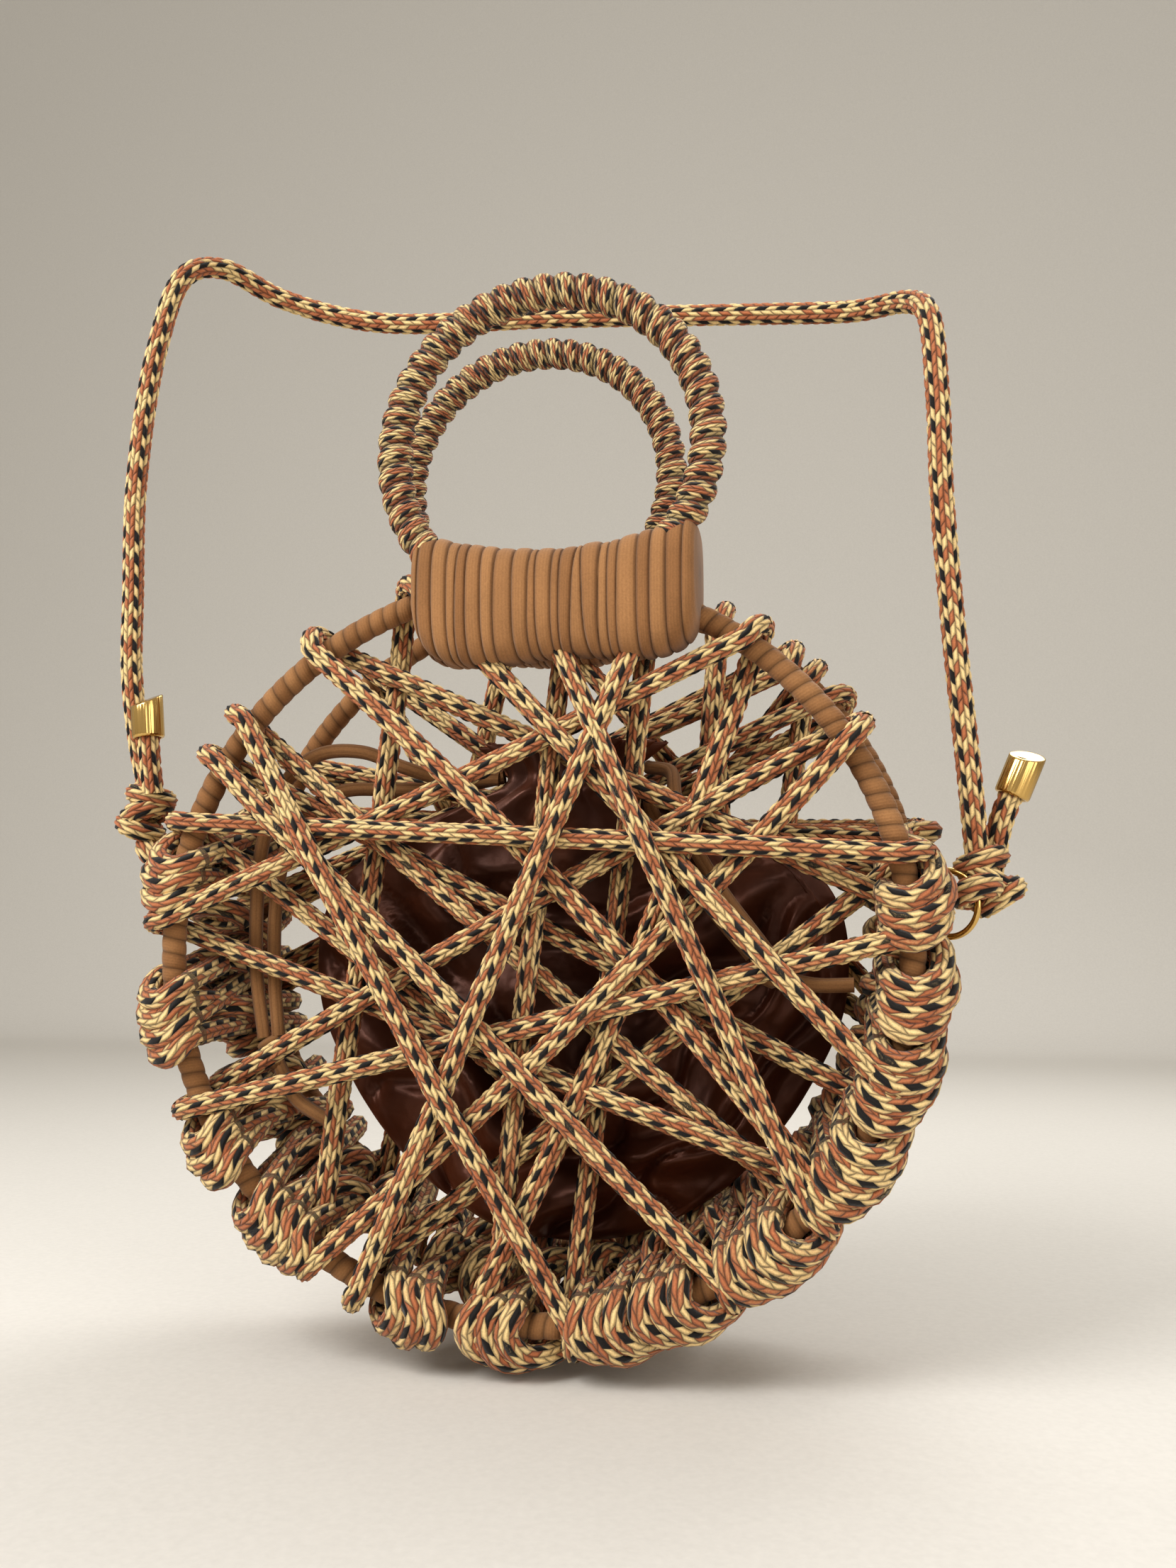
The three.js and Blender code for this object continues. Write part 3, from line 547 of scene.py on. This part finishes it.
def gusset_routes():
    """Strands that turn over both hoops, cross on the outside and the inside, and are bound by hitches."""
    seat = HOOP_TUBE + WEB_CORD + 0.8
    routes = []
    rng = random.Random(7)
    spread = math.degrees(7.2 / HOOP_HALF_WIDTH)
    for degrees, strands in FRONT_LOOPS:
        bow = 3.2 if degrees < 270 else -3.2
        for k in range(strands):
            angle = degrees + (k - (strands - 1) / 2) * spread
            shift = (6.5 if k % 2 else -6.5) + rng.uniform(-1.5, 1.5)
            back = angle + shift
            home = angle + rng.uniform(-1.5, 1.5)
            route = []
            crown = 2.4 * (1 - (2 * k / (strands - 1) - 1) ** 2)
            for share in range(5):
                turn = math.radians(-150 + 240 * share / 4)
                lean = angle + (share / 4 - 0.5) * 2.0 + bow * math.cos(turn + math.pi / 2)
                reach = seat + crown * max(math.cos(turn), 0.0)
                route.append(on_hoop(FRONT_HOOP, lean, 1 + reach * math.cos(turn), seat * math.sin(turn)))
            middle = FRONT_HOOP.lerp(BACK_HOOP, 0.5)
            route.append(on_hoop(middle, (angle + back) / 2, 1.5 + rng.uniform(-2, 2)))
            for share in range(5):
                turn = math.radians(-90 + 240 * share / 4)
                reach = seat + crown * max(math.cos(turn), 0.0)
                route.append(on_hoop(BACK_HOOP, back, 1 + reach * math.cos(turn), seat * math.sin(turn)))
            route.append(on_hoop(middle, (home + back) / 2, -9 + rng.uniform(-2, 2)))
            routes.append(route)
    return routes


def hitch_routes():
    """Rings of cord round the crossings in the middle of the gusset."""
    routes = []
    rng = random.Random(11)
    for share, start in ((0.36, 166.0), (0.64, 171.0)):
        hoop = FRONT_HOOP.lerp(BACK_HOOP, share)
        for i in range(21):
            degrees = start + 9.7 * i + rng.uniform(-1, 1)
            centre = on_hoop(hoop, degrees, -4)
            outwards = (on_hoop(hoop, degrees, 10) - centre).normalized()
            along = Vector((-outwards.z, 0.0, outwards.x))
            tilt = rng.uniform(-0.6, 0.6)
            axis = (along * math.cos(tilt) + Vector((0.0, 1.0, 0.0)) * math.sin(tilt)).normalized()
            third = axis.cross(outwards).normalized()
            route = []
            for k in range(9):
                turn = math.tau * k / 9
                lift = 2.5 * math.sin(turn)
                route.append(centre + outwards * 9.5 * math.cos(turn) + third * 8.5 * math.sin(turn) + axis * lift)
            routes.append(route)
    return routes


def handle_place(centre):
    """Where a point of a handle lies: a cord wound round a ring, its turns standing out as ridges."""
    def place(u, v):
        sweep = math.tau * u - math.pi / 2
        wind = math.tau * v + math.pi / 2
        phase = (u * HANDLE_TURNS - v) % 1.0
        ridge = 1.0 - abs(2 * phase - 1) ** 2.4
        stitch = math.sin(math.pi * (10 * phase % 1.0)) * 0.25
        tube = HANDLE_TUBE - 1.4 + 1.6 * ridge + stitch * ridge
        reach = HANDLE_RADIUS + tube * math.cos(wind)
        spot = (
            centre.x + reach * math.cos(sweep), centre.y + tube * math.sin(wind), centre.z + reach * math.sin(sweep),
        )
        return spot, u * HANDLE_TURNS
    return place


def hoop_route(hoop):
    """Points round a hoop, from under its binding."""
    return [on_hoop(hoop, 90 + 5.0 * i) for i in range(72)]


def wrapped_grid(name, rows, columns, place, material):
    """A grid rolled up by a function of its two shares, closed and smooth, with along and around at its corners."""
    mesh = bpy.data.meshes.new(name)
    grid = bmesh.new()
    bmesh.ops.create_grid(grid, x_segments=rows, y_segments=columns, size=0.5)
    along = grid.loops.layers.float.new("along")
    around = grid.loops.layers.float.new("around")
    for spot in grid.verts:
        share = spot.co.y + 0.5
        where, tag = place(spot.co.x + 0.5, share)
        for corner in spot.link_loops:
            corner[along] = tag
            corner[around] = share
        spot.co = placed(where)
    bmesh.ops.remove_doubles(grid, verts=grid.verts, dist=2e-6)
    bmesh.ops.recalc_face_normals(grid, faces=grid.faces)
    for face in grid.faces:
        face.smooth = True
    grid.to_mesh(mesh)
    grid.free()
    mesh.materials.append(material)
    piece = bpy.data.objects.new(name, mesh)
    bpy.context.scene.collection.objects.link(piece)
    return piece


def binding_place(shape, seed):
    """Where a point of a binding lies: wraps of uneven width and slant round the handle's arc and the hoop's top."""
    left, right, front, back, top, bottom = shape
    rng = random.Random(seed)
    widths = [rng.choice((3.2, 3.8, 4.4, 5.2, 6.4, 8.0)) for _ in range(22)]
    total = sum(widths)
    edges = [sum(widths[:i]) / total for i in range(len(widths) + 1)]
    slants = [rng.uniform(-0.004, 0.004) for _ in edges]
    slants[13] = 0.012
    slants[14] = -0.012
    heights = [rng.uniform(-0.35, 0.35) for _ in edges]

    def place(u, v):
        turn = math.tau * v
        lean = math.sin(turn)
        index = 0
        while index < len(widths) - 1 and edges[index + 1] + slants[index + 1] * lean < u:
            index += 1
        low = edges[index] + (slants[index] * lean if index else 0)
        high = edges[index + 1] + (slants[index + 1] * lean if index < len(widths) - 1 else 0)
        share = min(max((u - low) / (high - low), 0.0), 0.999)
        ridge = (1.0 - abs(2 * share - 1) ** 3.5) * min(1.0, widths[index] / 5) + heights[index]
        side = 2 * u - 1
        end = 0.62 + 0.38 * math.sqrt(1 - (max(abs(side) - 0.9, 0) / 0.1) ** 2)
        end *= min(1.0, (1 - abs(side)) / 0.004)
        high_z = top + 10 * side ** 2
        low_z = bottom + 9 * side ** 6 + 1.2 * math.sin(9 * u + seed) + heights[index]
        half_y = ((back - front) / 2 - 1 + ridge) * end
        half_z = ((high_z - low_z) / 2 - 1 + ridge) * end
        cosine, sine = math.cos(turn), math.sin(turn)
        x = left + u * (right - left)
        y = (front + back) / 2 + half_y * math.copysign(abs(cosine) ** 0.7, cosine)
        z = (high_z + low_z) / 2 + half_z * math.copysign(abs(sine) ** 0.7, sine)
        return (x, y, z), index + share
    return place


POUCH_PROFILE = (
    (0.0, -111.6), (24.0, -108.5), (46.0, -99.0), (66.0, -84.0), (88.0, -57.0), (104.0, -22.0), (100.0, 14.0),
    (70.0, 42.0), (25.0, 62.0), (35.0, 77.0),
)


def pouch_place(u, v):
    """Where a point of the pouch lies: a flattened bag with pleats that run down from its drawn neck."""
    spots = [Vector((r, 0.0, z)) for r, z in POUCH_PROFILE]
    run = u * (len(spots) - 1)
    index = min(int(run), len(spots) - 2)
    spot = spots[index].lerp(spots[index + 1], run - index)
    if 0 < run < len(spots) - 1:
        before = spots[max(index - 1, 0)]
        after = spots[min(index + 2, len(spots) - 1)]
        t = run - index
        a, b = spots[index], spots[index + 1]
        spot = 0.5 * (
            2 * a + (b - before) * t + (2 * before - 5 * a + 4 * b - after) * t * t
            + (3 * a - before - 3 * b + after) * t ** 3
        )
    turn = math.tau * v
    radius, z = max(spot.x, 0.0), spot.z
    gather = math.exp(-(((z - 66) / 42) ** 2))
    pleat = math.cos(12 * turn + 0.9 * math.sin(3 * turn)) + 0.5 * math.cos(23 * turn + 1.3)
    fold = 1 + 0.085 * gather * pleat
    half_depth = min(19.8, 6 + 0.42 * radius)
    flattened = min(1.0, half_depth / max(radius, 0.01))
    x = 10 + radius * fold * math.cos(turn)
    depth = radius * fold * flattened * math.sin(turn)
    sag = (x - 10) ** 2 / 900
    warp = noise.noise_vector(Vector((x / 40, math.copysign(1.0, depth), z / 40)))
    field = Vector((x / 52 + 1.1 * warp.x, math.copysign(2.0, depth), (z - 6 * sag) / 19 + 1.3 * warp.z))
    broad = noise.noise(field)
    valley = max(0.0, 1 - 2.6 * abs(noise.noise(field * 0.8 + Vector((7.0, 0.0, 3.0))))) ** 2
    crush = (1 - gather) * min(1.0, abs(depth) / 9)
    depth *= 1 - crush * (0.24 - 0.62 * broad + 0.58 * valley)
    return (x, 38.4 + max(min(depth, 20.5), -20.5), z), u


def knot_routes(centre, lean, loop):
    """The turns of a strap knot: two slanting wraps, a crossing one and the hitch through the ring."""
    routes = []
    for rise, tilt, radius in ((-7, lean, 6.6), (0, -lean, 7.2), (7, lean * 0.6, 6.4)):
        route = []
        for k in range(10):
            turn = math.tau * (k / 10 + 0.25)
            spot = Vector((radius * math.cos(turn), radius * math.sin(turn), rise))
            route.append(centre + Matrix.Rotation(tilt, 3, "Y") @ spot)
        routes.append(route)
    routes.append(loop)
    return routes


def wire_ring(name, centre, turned, material):
    """A round wire bent into a ring that faces the viewer, turned about the upright."""
    mesh = bpy.data.meshes.new(name)
    ring = bmesh.new()
    around = Matrix.Translation((RING_RADIUS, 0, 0)) @ Matrix.Rotation(math.pi / 2, 4, "X")
    made = bmesh.ops.create_circle(ring, segments=16, radius=RING_WIRE, matrix=around)
    edges = list({edge for spot in made["verts"] for edge in spot.link_edges})
    bmesh.ops.spin(
        ring, geom=made["verts"] + edges, cent=(0, 0, 0), axis=(0, 0, 1), angle=math.tau, steps=72, use_merge=True,
    )
    bmesh.ops.recalc_face_normals(ring, faces=ring.faces)
    for face in ring.faces:
        face.smooth = True
    stand = Matrix.Rotation(turned, 4, "Z") @ Matrix.Rotation(math.pi / 2, 4, "X")
    ring.transform(Matrix.Translation(placed(centre)) @ stand @ Matrix.Scale(MM, 4))
    ring.to_mesh(mesh)
    ring.free()
    mesh.materials.append(material)
    piece = bpy.data.objects.new(name, mesh)
    bpy.context.scene.collection.objects.link(piece)
    return piece


def cap_barrel(name, tail, material):
    """A fluted cup round a tail's free end, cut slanting across its closed end."""
    mesh = bpy.data.meshes.new(name)
    barrel = bmesh.new()
    profile = ((0.0, 14.0), (4.9, 14.0), (4.9, 0.0), (5.4, -0.4), (6.3, 0.0), (6.6, 0.8), (6.6, 10.0), (6.6, 19.4), (6.4, 19.8),
               (6.1, 20.0), (5.4, 20.0), (3.0, 20.0), (0.0, 20.0))
    line = [barrel.verts.new((r, 0.0, z)) for r, z in profile]
    edges = [barrel.edges.new(pair) for pair in zip(line, line[1:])]
    bmesh.ops.spin(
        barrel, geom=line + edges, cent=(0, 0, 0), axis=(0, 0, 1), angle=math.tau, steps=96, use_merge=True,
    )
    bmesh.ops.remove_doubles(barrel, verts=barrel.verts, dist=0.01)
    for spot in barrel.verts:
        reach = math.hypot(spot.co.x, spot.co.y)
        if reach > 6.5:
            groove = 1 - 0.03 * (0.5 + 0.5 * math.cos(24 * math.atan2(spot.co.y, spot.co.x)))
            spot.co.x *= groove
            spot.co.y *= groove
        if spot.co.z > 15:
            spot.co.z += 1.2 * (spot.co.x / 6.6 - 1) + 2.8 * (spot.co.y / 6.6 - 1)
    bmesh.ops.recalc_face_normals(barrel, faces=barrel.faces)
    for face in barrel.faces:
        face.smooth = True
    start, end = (Vector(p) for p in tail[-2:])
    turn = Vector((0, 0, 1)).rotation_difference(end - start).to_matrix().to_4x4()
    seat = Matrix.Translation(placed(end)) @ turn @ Matrix.Scale(MM, 4) @ Matrix.Translation((0, 0, -13))
    barrel.transform(seat)
    barrel.to_mesh(mesh)
    barrel.free()
    mesh.materials.append(material)
    piece = bpy.data.objects.new(name, mesh)
    bpy.context.scene.collection.objects.link(piece)
    return piece


def string_knot(centre):
    """Two crossed turns of a drawstring round its strands."""
    routes = []
    for rise, tilt in ((-3.2, 0.5), (2.8, -0.5)):
        middle = Vector(centre) + Vector((0.0, 0.0, rise))
        route = []
        for k in range(10):
            turn = math.tau * (k / 10 + 0.25)
            spot = Vector((3.6 * math.cos(turn), 1.9 * math.sin(turn), 0.0))
            route.append(middle + Matrix.Rotation(tilt, 3, "Y") @ spot)
        routes.append(route)
    return routes


def hitch_route(ring, turned, degrees):
    angle = math.radians(degrees)
    reach = STRAP_CORD + RING_WIRE + 0.4
    route = []
    for k in range(10):
        turn = math.tau * (k / 10 + 0.25)
        radial = RING_RADIUS + reach * math.cos(turn)
        spot = Vector((radial * math.cos(angle), reach * math.sin(turn), radial * math.sin(angle)))
        route.append(ring + Matrix.Rotation(turned, 3, "Z") @ spot)
    return route


def finished(piece, node):
    """Let a piece ride the bag's body in place of its plain solid."""
    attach(piece, "root")
    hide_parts(node)
    return piece


class CordBagSettings(bpy.types.PropertyGroup):
    strap_columns: bpy.props.IntProperty(name="Strap columns", default=12, min=6, max=24)
    web_columns: bpy.props.IntProperty(name="Web columns", default=12, min=6, max=24)
    stitch: bpy.props.FloatProperty(name="Stitch length in mm", default=4.8, min=2.0, max=10.0)
    hoop_pitch: bpy.props.FloatProperty(name="Width of a hoop wrap in mm", default=5.8, min=2.0, max=12.0)


def material_named(name, make):
    return bpy.data.materials.get(name) or make()


def group_named(name, make):
    return bpy.data.node_groups.get(name) or make()


def web_look(settings):
    group = group_named("web_cord", lambda: cord_nodes(
        "web_cord", WEB_CORD + 0.2, settings.web_columns, settings.stitch, 1.6, 0.7, flat=0.9,
    ))
    cotton = material_named("knitted_cotton", lambda: knitted_cotton(
        "knitted_cotton", settings.web_columns, settings.stitch,
    ))
    return group, cotton


def strap_look(settings):
    group = group_named("strap_cord", lambda: cord_nodes(
        "strap_cord", STRAP_CORD, settings.strap_columns, settings.stitch, 1.3, 0.7,
    ))
    cotton = material_named("strap_cotton", lambda: knitted_cotton(
        "strap_cotton", settings.strap_columns, settings.stitch,
    ))
    return group, cotton


def drawstring_look():
    group = group_named("drawstring_cord", lambda: cord_nodes("drawstring_cord", DRAWSTRING, 8, 400.0, 2.0, 0.3))
    cotton = material_named("ribbed_jersey", lambda: jersey_cotton("ribbed_jersey", 0.0, 7.0))
    return group, cotton


class CORDBAG_OT_stage(bpy.types.Operator):
    """Make the floor, the lights and the camera"""
    bl_idname = "cordbag.stage"
    bl_label = "Stage"

    def execute(self, context):
        scene = context.scene
        mesh = bpy.data.meshes.new("floor")
        sweep = bmesh.new()
        bmesh.ops.create_grid(sweep, x_segments=1, y_segments=60, size=3000)
        for spot in sweep.verts:
            rise = max(spot.co.y - 1400, 0) / 1600
            spot.co = placed((spot.co.x * 1.5, min(spot.co.y, 1400) + 500 * math.sin(rise * math.pi / 2),
                              FLOOR_Z + 500 * (1 - math.cos(min(rise, 1) * math.pi / 2)) + 2600 * rise ** 2))
        sweep.to_mesh(mesh)
        sweep.free()
        floor = bpy.data.objects.new("floor", mesh)
        scene.collection.objects.link(floor)
        for face in mesh.polygons:
            face.use_smooth = True
        paper, tree, shader = new_material("pale_paper", 0.9)
        grain = add_node(tree, "ShaderNodeTexNoise", {
            "Vector": add_node(tree, "ShaderNodeTexCoord").outputs["Object"], "Scale": 400.0, "Detail": 2.0,
        }).outputs["Fac"]
        tree.links.new(mixed(tree, grain, linear(PALE), linear(PALE_SHADE)), shader.inputs["Base Color"])
        mesh.materials.append(paper)
        lights = (
            ("key", (-700, -900, 900), 800.0, 17.0),
            ("fill", (900, -800, 300), 900.0, 5.0),
            ("rim", (300, 700, 900), 700.0, 6.0),
        )
        for name, spot, size, power in lights:
            lamp = bpy.data.lights.new(name, "AREA")
            lamp.size = size * MM
            lamp.energy = power
            holder = bpy.data.objects.new(name, lamp)
            holder.location = placed(spot)
            holder.rotation_euler = (placed((0, 36, 60)) - holder.location).to_track_quat("-Z", "Y").to_euler()
            scene.collection.objects.link(holder)
        world = bpy.data.worlds.new("studio")
        scene.world = world
        world.use_nodes = True
        world.node_tree.nodes["Background"].inputs[0].default_value = linear(PALE)
        world.node_tree.nodes["Background"].inputs[1].default_value = 0.7
        camera = bpy.data.cameras.new("camera")
        camera.sensor_fit = "VERTICAL"
        camera.sensor_height = 36.0
        camera.lens = CAMERA_LENS
        viewer = bpy.data.objects.new("camera", camera)
        viewer.location = placed(CAMERA_SPOT)
        viewer.rotation_euler = (math.pi / 2 + CAMERA_TILT, 0.0, CAMERA_YAW)
        scene.collection.objects.link(viewer)
        scene.camera = viewer
        scene.view_settings.view_transform = "Standard"
        scene.view_settings.look = "Medium High Contrast"
        return {"FINISHED"}


class CORDBAG_OT_ends(bpy.types.Operator):
    """Make the knots and the short tails of the strap and of the drawstrings"""
    bl_idname = "cordbag.ends"
    bl_label = "Knots and tails"

    def execute(self, context):
        strap = strap_look(context.scene.cord_bag)
        string = drawstring_look()
        left = knot_routes(Vector((-173, 34, 54)), 0.4, hitch_route(LEFT_RING, 0.0, 135))
        right = knot_routes(Vector((166, 38, 22.4)), -0.55, hitch_route(RIGHT_RING, RIGHT_TURN, 20))
        for name, routes, look, node, slot in (
            ("strap_knot_left_turns", left, strap, "strap_knot_left", "strap_cord"),
            ("strap_knot_right_turns", right, strap, "strap_knot_right", "strap_cord"),
            ("left_string_knot", string_knot(LEFT_STRING_KNOT), string, "drawstring_left_knot", "drawstring"),
            ("right_string_knot", string_knot(RIGHT_STRING_KNOT), string, "drawstring_right_knot", "drawstring"),
            ("strap_tail_left_braid", [smooth_route(LEFT_STRAP_TAIL)], strap, "strap_tail_left", "strap_cord"),
            ("strap_tail_right_braid", [smooth_route(RIGHT_STRAP_TAIL)], strap, "strap_tail_right", "strap_cord"),
            ("left_string_tail", [smooth_route(LEFT_TAIL)], string, "drawstring_left_tail", "drawstring"),
            ("right_string_tail", [smooth_route(RIGHT_TAIL)], string, "drawstring_right_tail", "drawstring"),
        ):
            finished(strand_object(name, routes, *look, cyclic="knot" in node), node)
        return {"FINISHED"}


class CORDBAG_OT_cords(bpy.types.Operator):
    """Make the strap and the four strands of the drawstrings"""
    bl_idname = "cordbag.cords"
    bl_label = "Strap and drawstrings"

    def execute(self, context):
        strap = strap_look(context.scene.cord_bag)
        string = drawstring_look()
        strap_ends = (
            "strap_knot_left_turns", "strap_knot_right_turns", "strap_tail_left_braid", "strap_tail_right_braid",
            "left_cap_barrel", "right_cap_barrel",
        )
        left_end = ("left_string_knot", "left_string_tail")
        right_end = ("right_string_knot", "right_string_tail")
        for name, points, look, radius, node, far_end, ends in (
            ("strap_braid", STRAP_ROUTE, strap, STRAP_CORD, "strap", "object", strap_ends),
            ("left_outer_string", LEFT_OUTER, string, DRAWSTRING, "drawstring_left_outer", "knot", left_end),
            ("left_inner_string", LEFT_INNER, string, DRAWSTRING, "drawstring_left_inner", "knot", ()),
            ("right_outer_string", RIGHT_OUTER, string, DRAWSTRING, "drawstring_right_outer", "knot", right_end),
            ("right_inner_string", RIGHT_INNER, string, DRAWSTRING, "drawstring_right_inner", "knot", ()),
        ):
            line = smooth_route(points)
            piece = finished(strand_object(name, [line], *look), node)
        return {"FINISHED"}


class CORDBAG_OT_webs(bpy.types.Operator):
    """Make the chords that cross both faces, each turned over its hoop"""
    bl_idname = "cordbag.webs"
    bl_label = "Webs"

    def execute(self, context):
        group, cotton = web_look(context.scene.cord_bag)
        for name, hoop, chords in (
            ("front_web_chords", FRONT_HOOP, FRONT_CHORDS),
            ("back_web_chords", BACK_HOOP, BACK_CHORDS),
        ):
            piece = strand_object(name, web_routes(hoop, chords), group, cotton)
            finished(piece, name.replace("_chords", ""))
        return {"FINISHED"}


class CORDBAG_OT_gusset(bpy.types.Operator):
    """Make the knotted net between the hoops"""
    bl_idname = "cordbag.gusset"
    bl_label = "Gusset"

    def execute(self, context):
        settings = context.scene.cord_bag
        _, cotton = web_look(settings)
        group = group_named("gusset_cord", lambda: cord_nodes(
            "gusset_cord", 4.5, 8, settings.stitch, 2.2, 0.5, flat=0.95,
        ))
        piece = strand_object("gusset_net", gusset_routes() + hitch_routes(), group, cotton, cyclic=True)
        finished(piece, "gusset")
        return {"FINISHED"}


class CORDBAG_OT_hoops(bpy.types.Operator):
    """Make the wrapped hoops and the wound handles"""
    bl_idname = "cordbag.hoops"
    bl_label = "Hoops and handles"

    def execute(self, context):
        settings = context.scene.cord_bag
        wrap = group_named("hoop_wrap", lambda: cord_nodes(
            "hoop_wrap", HOOP_TUBE, 12, settings.stitch, 1.0, 0.4, wrap=settings.hoop_pitch,
        ))
        jersey = material_named("jersey_wrap", lambda: jersey_cotton("jersey_wrap", settings.hoop_pitch))
        wound = material_named("wound_cotton", lambda: knitted_cotton(
            "wound_cotton", 12, settings.stitch - 0.4, math.tau * HANDLE_TUBE,
        ))
        for side, hoop, handle in (("front", FRONT_HOOP, FRONT_HANDLE), ("back", BACK_HOOP, BACK_HANDLE)):
            ring = strand_object(f"{side}_hoop_wrap", [hoop_route(hoop)], wrap, jersey, cyclic=True)
            finished(ring, f"{side}_hoop")
            winding = wrapped_grid(f"{side}_handle_winding", HANDLE_TURNS * 14, 36, handle_place(handle), wound)
            finished(winding, f"{side}_handle_ring")
        return {"FINISHED"}


class CORDBAG_OT_bindings(bpy.types.Operator):
    """Make the cloth bindings that tie the handles to the hoops"""
    bl_idname = "cordbag.bindings"
    bl_label = "Bindings"

    def execute(self, context):
        jersey = material_named("bound_jersey", lambda: jersey_cotton("bound_jersey"))
        for name, shape, node, seed in (
            ("front_binding_cloth", FRONT_BINDING, "front_binding", 3),
            ("back_binding_cloth", BACK_BINDING, "back_binding", 5),
        ):
            finished(wrapped_grid(name, 440, 64, binding_place(shape, seed), jersey), node)
        return {"FINISHED"}


class CORDBAG_OT_pouch(bpy.types.Operator):
    """Make the satin pouch"""
    bl_idname = "cordbag.pouch"
    bl_label = "Pouch"

    def execute(self, context):
        satin = material_named("brown_satin", brown_satin)
        piece = wrapped_grid("pouch_cloth", 110, 240, pouch_place, satin)
        cloth = piece.modifiers.new("Cloth", "SOLIDIFY")
        cloth.thickness = 1.6 * MM
        finished(piece, "pouch")
        return {"FINISHED"}


class CORDBAG_OT_gold(bpy.types.Operator):
    """Make the strap rings and give the end caps their finish"""
    bl_idname = "cordbag.gold"
    bl_label = "Gold pieces"

    def execute(self, context):
        gold = material_named("polished_gold", polished_gold)
        for name, centre, turned, node in (
            ("strap_ring_left_wire", LEFT_RING, 0.0, "strap_ring_left"),
            ("strap_ring_right_wire", RIGHT_RING, RIGHT_TURN, "strap_ring_right"),
        ):
            finished(wire_ring(name, centre, turned, gold), node)
        for name, tail, node in (
            ("left_cap_barrel", LEFT_STRAP_TAIL, "end_cap_left"),
            ("right_cap_barrel", RIGHT_STRAP_TAIL, "end_cap_right"),
        ):
            finished(cap_barrel(name, tail, gold), node)
        return {"FINISHED"}


class CORDBAG_PT_panel(bpy.types.Panel):
    bl_label = "Cord bag"
    bl_idname = "CORDBAG_PT_panel"
    bl_space_type = "VIEW_3D"
    bl_region_type = "UI"
    bl_category = "Cord bag"

    def draw(self, context):
        settings = context.scene.cord_bag
        for key in ("strap_columns", "web_columns", "stitch", "hoop_pitch"):
            self.layout.prop(settings, key)
        for operator in OPERATORS:
            self.layout.operator(operator.bl_idname)


OPERATORS = (
    CORDBAG_OT_stage, CORDBAG_OT_gold, CORDBAG_OT_ends, CORDBAG_OT_cords, CORDBAG_OT_webs, CORDBAG_OT_gusset,
    CORDBAG_OT_hoops, CORDBAG_OT_bindings, CORDBAG_OT_pouch,
)
CLASSES = (CordBagSettings, *OPERATORS, CORDBAG_PT_panel)


def register():
    for kind in CLASSES:
        bpy.utils.register_class(kind)
    bpy.types.Scene.cord_bag = bpy.props.PointerProperty(type=CordBagSettings)


def unregister():
    del bpy.types.Scene.cord_bag
    for kind in reversed(CLASSES):
        bpy.utils.unregister_class(kind)


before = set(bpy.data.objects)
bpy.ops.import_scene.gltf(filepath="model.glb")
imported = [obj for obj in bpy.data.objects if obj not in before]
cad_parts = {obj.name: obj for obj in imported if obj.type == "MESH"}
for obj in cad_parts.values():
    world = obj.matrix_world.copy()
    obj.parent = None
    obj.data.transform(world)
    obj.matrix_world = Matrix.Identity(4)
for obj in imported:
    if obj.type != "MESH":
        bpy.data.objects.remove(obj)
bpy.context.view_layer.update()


def main():
    register()
    for operator in OPERATORS:
        space, _, name = operator.bl_idname.partition(".")
        getattr(getattr(bpy.ops, space), name)()


if __name__ == "__main__":
    main()
